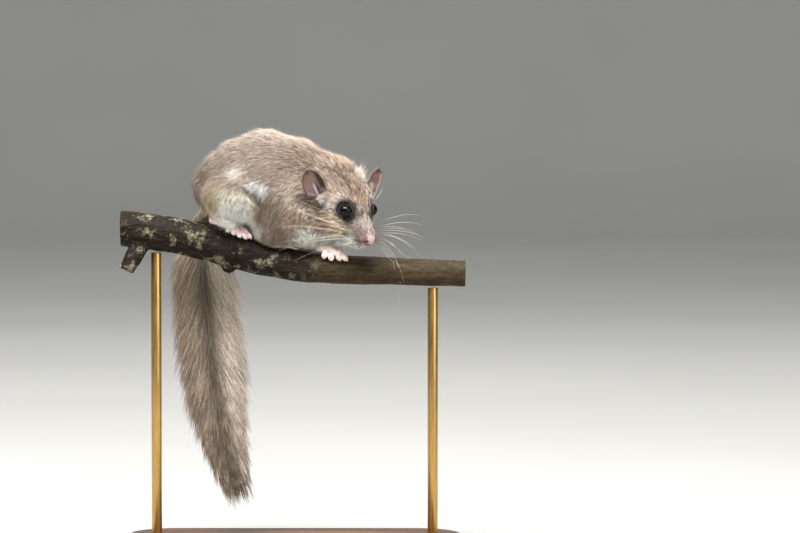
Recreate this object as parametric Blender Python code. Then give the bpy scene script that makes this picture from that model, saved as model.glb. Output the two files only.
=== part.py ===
"""Edible dormouse, life size, crouched on a cut length of branch that a plain display stand holds up.

The animal faces +X with its head turned towards -Y and lowered, and its bushy tail hangs behind the branch.
Places are given in millimetres from the perch point, which lies on the branch under the animal's belly.
"""

import math
import random

import bmesh
import bpy
from mathutils import Matrix, Vector, noise
from mathutils.bvhtree import BVHTree

MM = 0.001

# The stand and the perch point
PERCH_X = -10.0  # from the middle of the stand's base
PERCH_Z = 134.0  # above the floor
GAP = 0.3  # between pieces that meet
BASE_SIZE = (146.0, 82.0, 9.0)
BASE_CORNER = 20.0
BASE_EDGE = 1.6
ROD_RADIUS = 2.2
ROD_PLACES = (-49.0, 70.0)

# The branch: (x, z, radius) along its axis, which lies in the plane y = 0
BRANCH = (
    (-64.0, 9.4, 7.8),
    (-38.7, 6.0, 8.0),
    (-17.2, 0.4, 8.3),
    (-2.2, -3.6, 7.5),
    (12.9, -6.9, 6.8),
    (34.4, -8.6, 6.3),
    (55.9, -9.1, 6.0),
    (84.0, -10.2, 5.8),
)
BRANCH_SIDES = 16
BRANCH_RINGS = 24
BARK_SWELL = 0.45  # slow unevenness of the radius
BARK_ALONG = 0.09  # how fast it changes along the branch, per millimetre
BARK_ROUND = 1.4  # and round it
STUB_ROOT = (-54.0, -2.0, 5.5)
STUB_TIP = (-61.5, -5.5, -8.5)
STUB_RADIUS = 4.2
KNOB = ((-17.5, -2.0, -6.6), (3.6, 3.2, 3.4))

# The body, as balls of (centre, radii) that melt into one another
TORSO_BALLS = (
    ((-16.5, 7.5, 25.0), (17.8, 18.0, 20.0)),
    ((-11.5, 6.0, 29.5), (20.0, 19.5, 20.5)),
    ((-2.5, 5.0, 31.0), (20.5, 20.0, 22.4)),
    ((9.0, 4.0, 27.0), (18.0, 18.0, 22.5)),
    ((4.5, -3.5, 11.8), (13.5, 9.0, 11.6)),
    ((12.0, 0.0, 14.0), (14.5, 12.0, 13.0)),
)
NECK_BALLS = (
    ((19.5, 3.5, 26.5), (15.0, 14.5, 17.0)),
    ((25.5, 1.5, 24.5), (12.5, 13.0, 14.5)),
    ((29.0, 4.0, 26.0), (11.0, 11.0, 12.5)),
    ((23.5, -2.5, 14.0), (11.0, 11.0, 11.8)),
)
THIGHS = {
    "right": ((-15.5, -9.0, 23.4), (14.4, 10.0, 11.6)),
    "left": ((-12.5, 20.0, 20.5), (14.0, 9.0, 12.0)),
}
UPPER_ARMS = {
    "right": ((9.5, -9.5, 15.0), (8.5, 6.5, 9.0)),
    "left": ((7.0, 15.5, 15.0), (8.5, 6.0, 9.0)),
}
LIMB_MARGIN = 0.8  # how far a limb's cut lies outside its ball
SHOULDER_POINT = (17.0, 3.0, 27.0)
SHOULDER_WAY = (0.86, -0.38, -0.2)
FOREARMS = {
    "right": ((7.5, -12.5, 11.5), (14.5, -10.5, 6.2), (21.0, -3.8, 2.8)),
    "left": ((4.5, 16.0, 11.0), (8.0, 12.0, 6.4), (11.0, 3.4, 3.6)),
}
FOREARM_RADII = (4.2, 3.4, 2.3)

# Each foot: its sole over the bark as (x, angle from the top, lift), the sole's half widths and
# heights, and its toes as (x at the root, x at the tip, angle at the root, angle at the tip)
HIND_SOLE = ((-26.0, 15, 2.4), (-22.0, 15, 2.3), (-18.0, 16, 2.1), (-14.5, 17, 1.8))
HIND_SIZES = ((2.1, 2.0), (2.2, 1.9), (2.5, 1.8), (2.6, 1.5))
HIND_TOES = (
    (-19.0, -16.6, 18, 34),
    (-17.4, -14.2, 19, 39),
    (-15.6, -12.3, 20, 42),
    (-13.6, -10.2, 19, 40),
    (-12.2, -8.6, 14, 32),
)
FORE_SOLE = ((21.0, 6, 2.5), (24.5, 12, 2.2), (28.0, 17, 1.9))
FORE_SIZES = ((2.0, 1.9), (2.6, 1.8), (2.6, 1.5))
FORE_TOES = (
    (24.2, 23.6, 18, 50),
    (26.2, 26.4, 22, 56),
    (28.4, 30.0, 22, 56),
    (29.8, 32.6, 16, 48),
)
# (kind, name, shift along the branch, side: 1 is towards -Y, the toes' radius)
FEET = (
    ("hind", "right", 0.0, 1, 1.0),
    ("hind", "left", 4.0, -1, 1.0),
    ("fore", "right", 0.0, 1, 0.9),
    ("fore", "left", -10.6, -1, 0.9),
)
CLAW = 1.5  # its length
BODY_VOXEL = 0.9
BODY_SMOOTHING = 40
BODY_TRIANGLES = 1800

# The head, in its own frame: x forward, y left, z up, from the point midway between the eyes
HEAD_PLACE = (37.7, -11.0, 17.1)
HEAD_YAW = -48.0
HEAD_PITCH = 24.0
HEAD_BALLS = (
    ((-11.0, 0.0, -1.0), (13.5, 12.5, 12.5)),
    ((-4.5, 0.0, 0.2), (9.5, 9.0, 7.6)),
    ((-6.5, 5.2, 2.0), (7.5, 5.2, 6.4)),
    ((-6.5, -5.2, 2.0), (7.5, 5.2, 6.4)),
    ((-5.5, 5.6, -7.5), (9.5, 6.6, 7.2)),
    ((-5.5, -5.6, -7.5), (9.5, 6.6, 7.2)),
    ((-0.5, 0.0, -11.2), (11.2, 6.3, 4.6)),
    ((8.2, 2.6, -8.0), (4.4, 2.9, 3.2)),
    ((8.2, -2.6, -8.0), (4.4, 2.9, 3.2)),
    ((11.6, 0.0, -6.9), (1.8, 2.2, 2.1)),
    ((-20.0, 0.0, -3.0), (13.0, 14.0, 15.0)),
)
# The bridge of the muzzle: (x, z, half width, half height)
MUZZLE = (
    (-4.0, -3.4, 8.6, 7.6),
    (1.0, -4.6, 7.4, 7.0),
    (5.0, -5.8, 5.9, 5.9),
    (8.5, -6.6, 4.5, 4.8),
    (10.6, -6.9, 3.4, 3.7),
    (11.4, -6.9, 2.6, 2.9),
)
HEAD_VOXEL = 0.45
HEAD_SMOOTHING = 12
FINE_TRIANGLES = 3900
NECK_POINT = (-13.0, 0.0, 0.0)
NECK_WAY = (0.64, -0.72, 0.05)
EYE_PLACE = (0.0, 7.2, 0.2)
EYE_RADIUS = 3.0
EYE_AXIS = (0.46, 0.87, 0.16)
LID_RING = 3.3
LID_RADIUS = 0.55
LID_OUT = 0.9
NOSTRIL = (12.0, 1.9, -9.5)
NOSTRIL_RADII = (1.1, 0.45, 0.6)
MOUTH = ((13.2, 0.0, -10.3), (11.3, 2.6, -10.9), (8.4, 4.4, -11.2), (5.0, 5.7, -10.6))
MOUTH_RADIUS = 0.34

# The ears: root and tip in the head's frame, and the way that the cup opens
EAR_ROOT = (-9.9, 12.6, 0.2)
EAR_TIP = (-15.0, 20.9, 12.1)
EAR_OPEN = (0.93, 0.25, 0.1)
EAR_HALF_WIDTH = 4.7
EAR_CUP = 2.4
EAR_WALL = 0.8

# The tail: its path, the half widths of its core across and through, and its locks of hair
TAIL_PATH = (
    (-23.0, 10.5, 22.0),
    (-28.5, 15.0, 11.0),
    (-29.8, 17.6, 1.0),
    (-29.4, 18.0, -10.0),
    (-28.0, 17.4, -28.0),
    (-25.6, 16.4, -52.0),
    (-22.0, 15.4, -76.0),
    (-17.0, 14.6, -97.0),
)
TAIL_CORE = (
    (4.6, 4.4),
    (5.6, 4.0),
    (6.4, 3.7),
    (6.8, 3.5),
    (7.0, 3.4),
    (6.8, 3.2),
    (6.0, 2.8),
    (3.6, 1.8),
)
TAIL_RINGS = 19
TAIL_SIDES = 10
LOCK_TIERS = 12
LOCK_FIRST = 0.19  # where the first tier grows, as a share of the path
LOCK_LENGTH = 19.0
LOCK_WIDTH = 7.2
LOCK_THICKNESS = 1.6
LOCK_SPREAD = 44.0  # degrees from the tail's axis
LOCK_SECTIONS = ((0.0, 0.8, 1.0), (0.5, 1.0, 0.9), (1.0, 0.12, 0.42))  # (along, width, thickness)
LOCK_SEED = 7
SHORT_ABOVE = 0.2  # the locks grow to their full length over this share of the path
CLOSING_FROM = 0.62  # past this share of the path they close in to the tail's tip
FACE_LOCK = 0.8  # length of the locks on the two flat faces

FUR_COLOUR = (0.30, 0.23, 0.18)
SKIN_COLOUR = (0.72, 0.45, 0.42)
EYE_COLOUR = (0.01, 0.01, 0.012)
BARK_COLOUR = (0.07, 0.05, 0.035)
BASE_COLOUR = (0.12, 0.06, 0.03)
ROD_COLOUR = (0.6, 0.45, 0.2)


def place(x, y, z):
    """A point in metres from the stand's foot, for one in millimetres from the perch point."""
    return Vector((x + PERCH_X, y, z + PERCH_Z)) * MM


def head_matrix():
    """The head's frame, whose unit is the millimetre."""
    yaw = Matrix.Rotation(math.radians(HEAD_YAW), 4, "Z")
    pitch = Matrix.Rotation(math.radians(HEAD_PITCH), 4, "Y")
    return Matrix.Translation(place(*HEAD_PLACE)) @ yaw @ pitch @ Matrix.Scale(MM, 4)


def material(name, colour, roughness, metallic=0.0):
    made = bpy.data.materials.new(name)
    made.use_nodes = True
    shader = made.node_tree.nodes["Principled BSDF"]
    shader.inputs["Base Color"].default_value = (*colour, 1.0)
    shader.inputs["Roughness"].default_value = roughness
    shader.inputs["Metallic"].default_value = metallic
    return made


def new_object(name, mesh):
    made = bpy.data.objects.new(name, mesh)
    bpy.context.scene.collection.objects.link(made)
    return made


def from_bmesh(name, shape):
    mesh = bpy.data.meshes.new(name)
    bmesh.ops.recalc_face_normals(shape, faces=shape.faces)
    shape.to_mesh(mesh)
    shape.free()
    return new_object(name, mesh)


def ball(centre, radii, frame, fineness=4):
    """A closed ellipsoid. The frame takes the centre and the radii to metres."""
    shape = bmesh.new()
    size = Matrix.Diagonal((*radii, 1.0))
    bmesh.ops.create_icosphere(
        shape, subdivisions=fineness, radius=1.0, matrix=frame @ Matrix.Translation(centre) @ size
    )
    return from_bmesh("ball", shape)


def perch_frame():
    return Matrix.Translation(place(0, 0, 0)) @ Matrix.Scale(MM, 4)


def spline_point(points, t):
    """A point of the smooth curve through the points, with t from 0 to 1."""
    last = len(points) - 1
    step = min(int(t * last), last - 1)
    part = t * last - step
    before = points[max(step - 1, 0)]
    start, end = points[step], points[step + 1]
    after = points[min(step + 2, last)]
    return tuple(
        0.5
        * (
            2 * b
            + (c - a) * part
            + (2 * a - 5 * b + 4 * c - d) * part**2
            + (3 * b - a - 3 * c + d) * part**3
        )
        for a, b, c, d in zip(before, start, end, after)
    )


def loft(
    name,
    centres,
    radii,
    sides=12,
    side_way=Vector((0, 1, 0)),
    round_start=True,
    round_end=True,
    rounds=2,
):
    """A closed tube through the centres, in metres, whose ends are round or flat.

    Radii are (along side_way, across it).
    """
    centres = [Vector(c) for c in centres]
    radii = [(r, r) if isinstance(r, (int, float)) else tuple(r) for r in radii]
    last = len(centres) - 1
    stations = []
    for i, (centre, size) in enumerate(zip(centres, radii)):
        ahead = (centres[min(i + 1, last)] - centres[max(i - 1, 0)]).normalized()
        stations.append((centre, size, ahead))
    if round_start:
        centre, size, ahead = stations[0]
        caps = [90.0 * k / (rounds + 1) for k in range(rounds, 0, -1)]
        reach = min(size)
        stations[:0] = [
            (
                centre - ahead * reach * math.sin(math.radians(a)),
                tuple(s * math.cos(math.radians(a)) for s in size),
                ahead,
            )
            for a in caps
        ]
        start_pole = centre - ahead * reach
    if round_end:
        centre, size, ahead = stations[-1]
        caps = [90.0 * k / (rounds + 1) for k in range(1, rounds + 1)]
        reach = min(size)
        stations += [
            (
                centre + ahead * reach * math.sin(math.radians(a)),
                tuple(s * math.cos(math.radians(a)) for s in size),
                ahead,
            )
            for a in caps
        ]
        end_pole = centre + ahead * reach
    shape = bmesh.new()
    rings = []
    for centre, size, ahead in stations:
        side = (side_way - ahead * side_way.dot(ahead)).normalized()
        across = ahead.cross(side)
        ring = []
        for k in range(sides):
            a = 2 * math.pi * k / sides
            point = centre + side * size[0] * math.cos(a) + across * size[1] * math.sin(a)
            ring.append(shape.verts.new(point))
        rings.append(ring)
    for first, second in zip(rings, rings[1:]):
        for k in range(sides):
            n = (k + 1) % sides
            shape.faces.new((first[k], first[n], second[n], second[k]))
    for ring, is_round, pole in (
        (rings[0], round_start, start_pole if round_start else None),
        (rings[-1], round_end, end_pole if round_end else None),
    ):
        if is_round:
            tip = shape.verts.new(pole)
            for k in range(sides):
                shape.faces.new((ring[k], ring[(k + 1) % sides], tip))
        else:
            shape.faces.new(ring)
    return from_bmesh(name, shape)


def bake(obj):
    """Makes what the modifiers show the object's own mesh."""
    bpy.context.view_layer.update()
    graph = bpy.context.evaluated_depsgraph_get()
    mesh = bpy.data.meshes.new_from_object(obj.evaluated_get(graph))
    obj.modifiers.clear()
    old = obj.data
    obj.data = mesh
    bpy.data.meshes.remove(old)
    return obj


def discard(*objects):
    for obj in objects:
        bpy.data.objects.remove(obj)


def islands(shape):
    """The connected pieces of a bmesh, each a set of its faces."""
    unseen = set(shape.faces)
    while unseen:
        front = [unseen.pop()]
        found = set(front)
        while front:
            for edge in front.pop().edges:
                for face in edge.link_faces:
                    if face in unseen:
                        unseen.discard(face)
                        found.add(face)
                        front.append(face)
        yield found


def keep_largest(obj):
    """Drops all but the closed surface with the largest area."""
    shape = bmesh.new()
    shape.from_mesh(obj.data)
    found = sorted(islands(shape), key=lambda faces: sum(f.calc_area() for f in faces))
    for loose in found[:-1]:
        bmesh.ops.delete(shape, geom=list(loose), context="FACES")
    shape.to_mesh(obj.data)
    shape.free()
    return obj


def combine(obj, other, operation, solver="EXACT"):
    """Applies one Boolean of two meshes and discards the second."""
    modifier = obj.modifiers.new("combine", "BOOLEAN")
    modifier.operation = operation
    modifier.solver = solver
    modifier.object = other
    bake(obj)
    discard(other)
    return obj


def unite(name, pieces):
    """One closed body from overlapping closed pieces."""
    first, others = pieces[0], pieces[1:]
    group = bpy.data.collections.new("pieces")
    for piece in others:
        group.objects.link(piece)
    modifier = first.modifiers.new("unite", "BOOLEAN")
    modifier.operation = "UNION"
    modifier.solver = "MANIFOLD"
    modifier.operand_type = "COLLECTION"
    modifier.collection = group
    bake(first)
    bpy.data.collections.remove(group)
    discard(*others)
    first.name = name
    return keep_largest(first)


def copy_of(obj, name="copy"):
    return new_object(name, obj.data.copy())


def grown(obj, by):
    """A copy of the object, swollen by a distance along its normals."""
    made = copy_of(obj)
    modifier = made.modifiers.new("grow", "DISPLACE")
    modifier.strength = by
    modifier.mid_level = 0.0
    return bake(made)


def trim(obj, *neighbours, gap=GAP):
    """Cuts the object back from its neighbours, so that it meets them face to face."""
    for neighbour in neighbours:
        combine(obj, grown(neighbour, gap * MM), "DIFFERENCE")
    return keep_largest(obj)


def hull(obj):
    """The object's convex hull in its place."""
    shape = bmesh.new()
    shape.from_mesh(obj.data)
    made = bmesh.ops.convex_hull(shape, input=shape.verts)
    keep = {g for g in made["geom"] if isinstance(g, bmesh.types.BMFace)}
    bmesh.ops.delete(shape, geom=[f for f in shape.faces if f not in keep], context="FACES")
    discard(obj)
    return from_bmesh("hull", shape)


def cut_away(obj, point, normal):
    """Cuts off all that lies on the normal's side of a plane."""
    reach = 0.3
    shape = bmesh.new()
    turn = Vector(normal).to_track_quat("Z", "Y").to_matrix().to_4x4()
    lifted = Matrix.Translation(Vector(point)) @ turn @ Matrix.Translation((0, 0, reach / 2))
    bmesh.ops.create_cube(shape, size=reach, matrix=lifted)
    return combine(obj, from_bmesh("half", shape), "DIFFERENCE")


def melt(name, pieces, voxel, smoothing, triangles):
    """One smooth closed form from overlapping pieces."""
    shape = bmesh.new()
    for piece in pieces:
        shape.from_mesh(piece.data)
    discard(*pieces)
    made = from_bmesh(name, shape)
    remesh = made.modifiers.new("remesh", "REMESH")
    remesh.mode = "VOXEL"
    remesh.voxel_size = voxel * MM
    smooth = made.modifiers.new("smooth", "SMOOTH")
    smooth.factor = 0.5
    smooth.iterations = smoothing
    bake(made)
    keep_largest(made)
    count = sum(len(p.vertices) - 2 for p in made.data.polygons)
    thin = made.modifiers.new("thin", "DECIMATE")
    thin.ratio = triangles / count
    return bake(made)


def branch_at(x):
    """(z, radius) of the branch at x, by linear steps along its smooth axis."""
    points = [spline_point(BRANCH, k / 80) for k in range(81)]
    for (x0, z0, r0), (x1, z1, r1) in zip(points, points[1:]):
        if x <= x1 or x1 == points[-1][0]:
            part = (x - x0) / (x1 - x0)
            return z0 + (z1 - z0) * part, r0 + (r1 - r0) * part
    return points[-1][1:]


def on_branch(x, angle, lift):
    """A point over the bark, in metres, at an angle from the top towards -Y."""
    z, radius = branch_at(x)
    away = radius + BARK_SWELL + lift
    turn = math.radians(angle)
    return place(x, -away * math.sin(turn), z + away * math.cos(turn))


def make_branch():
    """The cut length of branch: a swelling tube with a broken side stub and a knob."""
    shape = bmesh.new()
    rings = []
    for i in range(BRANCH_RINGS + 1):
        x, z, radius = spline_point(BRANCH, i / BRANCH_RINGS)
        ring = []
        for k in range(BRANCH_SIDES):
            a = 2 * math.pi * k / BRANCH_SIDES
            spot = Vector((x * BARK_ALONG, BARK_ROUND * math.cos(a), BARK_ROUND * math.sin(a)))
            reach = radius + BARK_SWELL * noise.noise(spot)
            ring.append(shape.verts.new(place(x, reach * math.sin(a), z + reach * math.cos(a))))
        rings.append(ring)
    for first, second in zip(rings, rings[1:]):
        for k in range(BRANCH_SIDES):
            n = (k + 1) % BRANCH_SIDES
            shape.faces.new((first[k], first[n], second[n], second[k]))
    shape.faces.new(rings[0])
    shape.faces.new(rings[-1])
    branch = from_bmesh("perch_branch", shape)
    stub = loft(
        "stub",
        [place(*STUB_ROOT), place(*spline_point((STUB_ROOT, STUB_TIP), 0.6)), place(*STUB_TIP)],
        [STUB_RADIUS * MM, STUB_RADIUS * 0.92 * MM, STUB_RADIUS * 0.8 * MM],
        sides=10,
        round_start=False,
        round_end=False,
    )
    knob = ball(*KNOB, perch_frame(), fineness=2)
    return unite("perch_branch", [branch, stub, knob])


def make_stand():
    """The flat base and the two rods that end just under the bark."""
    length, depth, height = (s * MM for s in BASE_SIZE)
    corner = BASE_CORNER * MM
    shape = bmesh.new()
    outline = []
    for cx, cy, start in ((1, 1, 0), (-1, 1, 90), (-1, -1, 180), (1, -1, 270)):
        for k in range(7):
            a = math.radians(start + 15 * k)
            outline.append(
                shape.verts.new(
                    (
                        cx * (length / 2 - corner) + corner * math.cos(a),
                        cy * (depth / 2 - corner) + corner * math.sin(a),
                        0,
                    )
                )
            )
    bottom = shape.faces.new(outline)
    made = bmesh.ops.extrude_face_region(shape, geom=[bottom])
    top = [v for v in made["geom"] if isinstance(v, bmesh.types.BMVert)]
    bmesh.ops.translate(shape, verts=top, vec=(0, 0, height))
    rim = [e for e in shape.edges if all(v.co.z > height / 2 for v in e.verts)]
    bmesh.ops.bevel(shape, geom=rim, offset=BASE_EDGE * MM, segments=3, profile=0.5, affect="EDGES")
    base = from_bmesh("stand_base", shape)
    rods = []
    for name, x in zip(("stand_rod_left", "stand_rod_right"), ROD_PLACES):
        z, radius = branch_at(x)
        top = z - radius - BARK_SWELL - GAP
        foot = BASE_SIZE[2] - PERCH_Z + GAP
        rod = loft(
            name,
            [place(x, 0, foot), place(x, 0, top)],
            [ROD_RADIUS * MM] * 2,
            sides=16,
            round_start=False,
            round_end=False,
        )
        rods.append(rod)
    return base, rods


def torus(centre, axis, ring, tube, frame):
    """A ring about an axis, in the frame's own millimetres."""
    shape = bmesh.new()
    turn = Vector(axis).to_track_quat("Z", "Y").to_matrix().to_4x4()
    whole = frame @ Matrix.Translation(centre) @ turn
    around, through = 18, 5
    rows = []
    for i in range(around):
        a = 2 * math.pi * i / around
        row = []
        for k in range(through):
            b = 2 * math.pi * k / through
            reach = ring + tube * math.cos(b)
            point = Vector((reach * math.cos(a), reach * math.sin(a), tube * math.sin(b)))
            row.append(shape.verts.new(whole @ point))
        rows.append(row)
    for i in range(around):
        for k in range(through):
            j, n = (i + 1) % around, (k + 1) % through
            shape.faces.new((rows[i][k], rows[j][k], rows[j][n], rows[i][n]))
    return from_bmesh("ring", shape)


def mirrored(point, side):
    """A point of the head's frame on one side: -1 is the animal's right."""
    return (point[0], point[1] * side, point[2])


def head_balls(frame):
    pieces = [ball(centre, radii, frame) for centre, radii in HEAD_BALLS]
    muzzle = loft(
        "muzzle",
        [frame @ Vector((x, 0, z)) for x, z, wide, high in MUZZLE],
        [(wide * MM, high * MM) for x, z, wide, high in MUZZLE],
        sides=24,
        side_way=(frame.to_3x3() @ Vector((0, 1, 0))).normalized(),
        rounds=4,
    )
    return [*pieces, muzzle]


def body_balls():
    frame = perch_frame()
    found = [*TORSO_BALLS, *NECK_BALLS, *THIGHS.values(), *UPPER_ARMS.values()]
    return [ball(centre, radii, frame) for centre, radii in found]


def finish_head(head, frame):
    """Adds the lids, and cuts the sockets, the nostrils and the line of the mouth."""
    surface = BVHTree.FromPolygons(
        [v.co.copy() for v in head.data.vertices], [tuple(p.vertices) for p in head.data.polygons]
    )
    for side in (-1, 1):
        axis = Vector(mirrored(EYE_AXIS, side)).normalized()
        eye = Vector(mirrored(EYE_PLACE, side))
        lids = torus(eye + axis * LID_OUT, axis, LID_RING, LID_RADIUS, frame)
        combine(head, lids, "UNION")
        socket = ball(eye, [EYE_RADIUS + GAP] * 3, frame, fineness=3)
        combine(head, socket, "DIFFERENCE")
        near = frame.inverted() @ surface.find_nearest(frame @ Vector(mirrored(NOSTRIL, side)))[0]
        nostril = ball(near, NOSTRIL_RADII, frame, fineness=2)
        combine(head, nostril, "DIFFERENCE")
    right = [mirrored(p, -1) for p in reversed(MOUTH)]
    line = [frame @ Vector(p) for p in (*right, *MOUTH[1:])]
    line = [surface.find_nearest(p)[0] for p in line]
    groove = loft("groove", line, [MOUTH_RADIUS * MM] * len(line), sides=6, side_way=Vector((0, 0, 1)))
    combine(head, groove, "DIFFERENCE")
    return keep_largest(head)


def make_ear(side, frame):
    """A cupped leaf: wide above, narrowing to its root, with an even wall."""
    root, tip = Vector(mirrored(EAR_ROOT, side)), Vector(mirrored(EAR_TIP, side))
    along = tip - root
    up = along.normalized()
    facing = Vector(mirrored(EAR_OPEN, side))
    facing = (facing - up * facing.dot(up)).normalized()
    across = up.cross(facing)
    rows, columns = 7, 6
    shape = bmesh.new()
    grid = []
    for i in range(rows + 1):
        v = i / rows * 0.985
        if v < 0.5:
            wide = EAR_HALF_WIDTH * (0.66 + 0.34 * math.sin(math.pi * v))
        else:
            wide = EAR_HALF_WIDTH * math.sqrt(1 - (2 * v - 1) ** 2)
        deep = EAR_CUP * (1 - 0.75 * v * v)
        row = []
        for k in range(columns + 1):
            w = 2 * k / columns - 1
            point = root + along * v + across * wide * w - facing * deep * (1 - w * w)
            row.append(shape.verts.new(frame @ point))
        grid.append(row)
    for i in range(rows):
        for k in range(columns):
            shape.faces.new((grid[i][k], grid[i][k + 1], grid[i + 1][k + 1]))
            shape.faces.new((grid[i][k], grid[i + 1][k + 1], grid[i + 1][k]))
    ear = from_bmesh("ear_right" if side < 0 else "ear_left", shape)
    wall = ear.modifiers.new("wall", "SOLIDIFY")
    wall.thickness = EAR_WALL * MM
    wall.offset = 0.0
    return bake(ear)


def digit(path, radius, more):
    """One toe with a swollen tip, and its claw."""
    sizes = [(radius * s + more) * MM for s in (0.95, 0.95, 1.02)]
    toe = loft("digit", path, sizes, sides=6, rounds=1)
    ahead = (path[-1] - path[-2]).normalized()
    root = path[-1] + ahead * radius * 0.4 * MM
    droop = Vector((0, 0, -0.3 * MM))
    nail = [root, root + ahead * CLAW * 0.6 * MM, root + ahead * CLAW * MM + droop]
    sizes = [(r + more) * MM for r in (0.45, 0.33, 0.12)]
    claw = loft("claw", nail, sizes, sides=4, round_start=False, round_end=False)
    return [toe, claw]


def make_foot(kind, hand, shift, side, radius, more=0.0):
    """A foot laid on the bark, its toes bent over the branch's side. more swells it all round."""
    sole, sizes, toes = {
        "hind": (HIND_SOLE, HIND_SIZES, HIND_TOES),
        "fore": (FORE_SOLE, FORE_SIZES, FORE_TOES),
    }[kind]
    name = f"{kind}foot_{hand}"
    path = [on_branch(x + shift, angle * side, lift) for x, angle, lift in sole]
    sizes = [((wide + more) * MM, (high + more) * MM) for wide, high in sizes]
    pieces = [loft(name, path, sizes, sides=12, side_way=Vector((0, 1, 0)))]
    steps = 3
    for root_x, tip_x, root_angle, tip_angle in toes:
        points = []
        for k in range(steps):
            part = k / (steps - 1)
            x = root_x + (tip_x - root_x) * part + shift
            angle = root_angle + (tip_angle - root_angle) * part
            points.append(on_branch(x, angle * side, radius + GAP))
        pieces += digit(points, radius, more)
    return unite(name, pieces)


def make_forearm(hand, more=0.0):
    path = [place(*p) for p in FOREARMS[hand]]
    return loft(f"forearm_{hand}", path, [(r + more) * MM for r in FOREARM_RADII], sides=12)


def at_tail(t):
    """The tail's middle line, its direction, and the ways across and through it, at t from 0 to 1."""
    step = 0.01
    above = place(*spline_point(TAIL_PATH, max(t - step, 0.0)))
    below = place(*spline_point(TAIL_PATH, min(t + step, 1.0)))
    ahead = (below - above).normalized()
    side = (Vector((1, 0, 0)) - ahead * ahead.x).normalized()
    return place(*spline_point(TAIL_PATH, t)), ahead, side, ahead.cross(side)


def lock(root, way, bend, through, length, width):
    """A flat, tapered lock of hair that leaves its root along way and turns towards bend."""
    centres, sizes = [], []
    for along, wide, thick in LOCK_SECTIONS:
        centres.append(root + (way * along + bend * along * along) * length)
        sizes.append((width / 2 * wide, LOCK_THICKNESS * MM / 2 * thick))
    flat = way.cross(through).normalized()
    return loft("lock", centres, sizes, sides=4, side_way=flat, round_start=False, round_end=False)


def tail_locks():
    """Tiers of locks down the tail: four that spread to its sides, and one on each flat face."""
    draw = random.Random(LOCK_SEED)
    pieces = []
    for tier in range(LOCK_TIERS):
        t = LOCK_FIRST + (1 - LOCK_FIRST) * tier / (LOCK_TIERS - 1)
        here, ahead, side, through = at_tail(t)
        wide, deep = (size * MM for size in spline_point(TAIL_CORE, t))
        fullness = min(1.0, 0.72 + 0.28 * (t - LOCK_FIRST) / SHORT_ABOVE)
        closing = max(0.0, t - CLOSING_FROM) / (1 - CLOSING_FROM)
        length = LOCK_LENGTH * MM * fullness * (1 - 0.12 * closing)
        spread = LOCK_SPREAD * (1 - 0.72 * closing)
        for hand in (-1, 1):
            for face in (-1, 1):
                lean = 0.28 * face * (1.0 if tier % 2 else 0.55)
                out = (side * hand * math.cos(lean) + through * math.sin(lean)).normalized()
                turn = math.radians(spread * draw.uniform(0.85, 1.12))
                way = (out * math.sin(turn) + ahead * math.cos(turn)).normalized()
                root = here + side * hand * wide * 0.72 + through * face * deep * 0.45
                bend = ahead * 0.25 - out * 0.12
                own_length = length * draw.uniform(0.88, 1.08)
                own_width = LOCK_WIDTH * MM * draw.uniform(0.9, 1.1)
                pieces.append(lock(root, way, bend, through, own_length, own_width))
        for face in (-1, 1):
            shift = 0.45 if (tier + (face > 0)) % 2 else -0.45
            root = here + side * shift * wide + through * face * deep * 0.6
            way = (ahead + through * face * 0.26 + side * shift * 0.35).normalized()
            own_length = length * FACE_LOCK * draw.uniform(0.9, 1.1)
            pieces.append(lock(root, way, (ahead - way) * 0.6, through, own_length, LOCK_WIDTH * MM))
    return pieces


def make_tail():
    """A tapering core, united with the locks that lie along it."""
    path, sizes = [], []
    for k in range(TAIL_RINGS):
        t = k / (TAIL_RINGS - 1)
        path.append(at_tail(t)[0])
        wide, deep = spline_point(TAIL_CORE, t)
        sizes.append((wide * MM, deep * MM))
    core = loft("tail", path, sizes, sides=TAIL_SIDES, side_way=Vector((1, 0, 0)))
    return unite("tail", [core, *tail_locks()])


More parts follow.
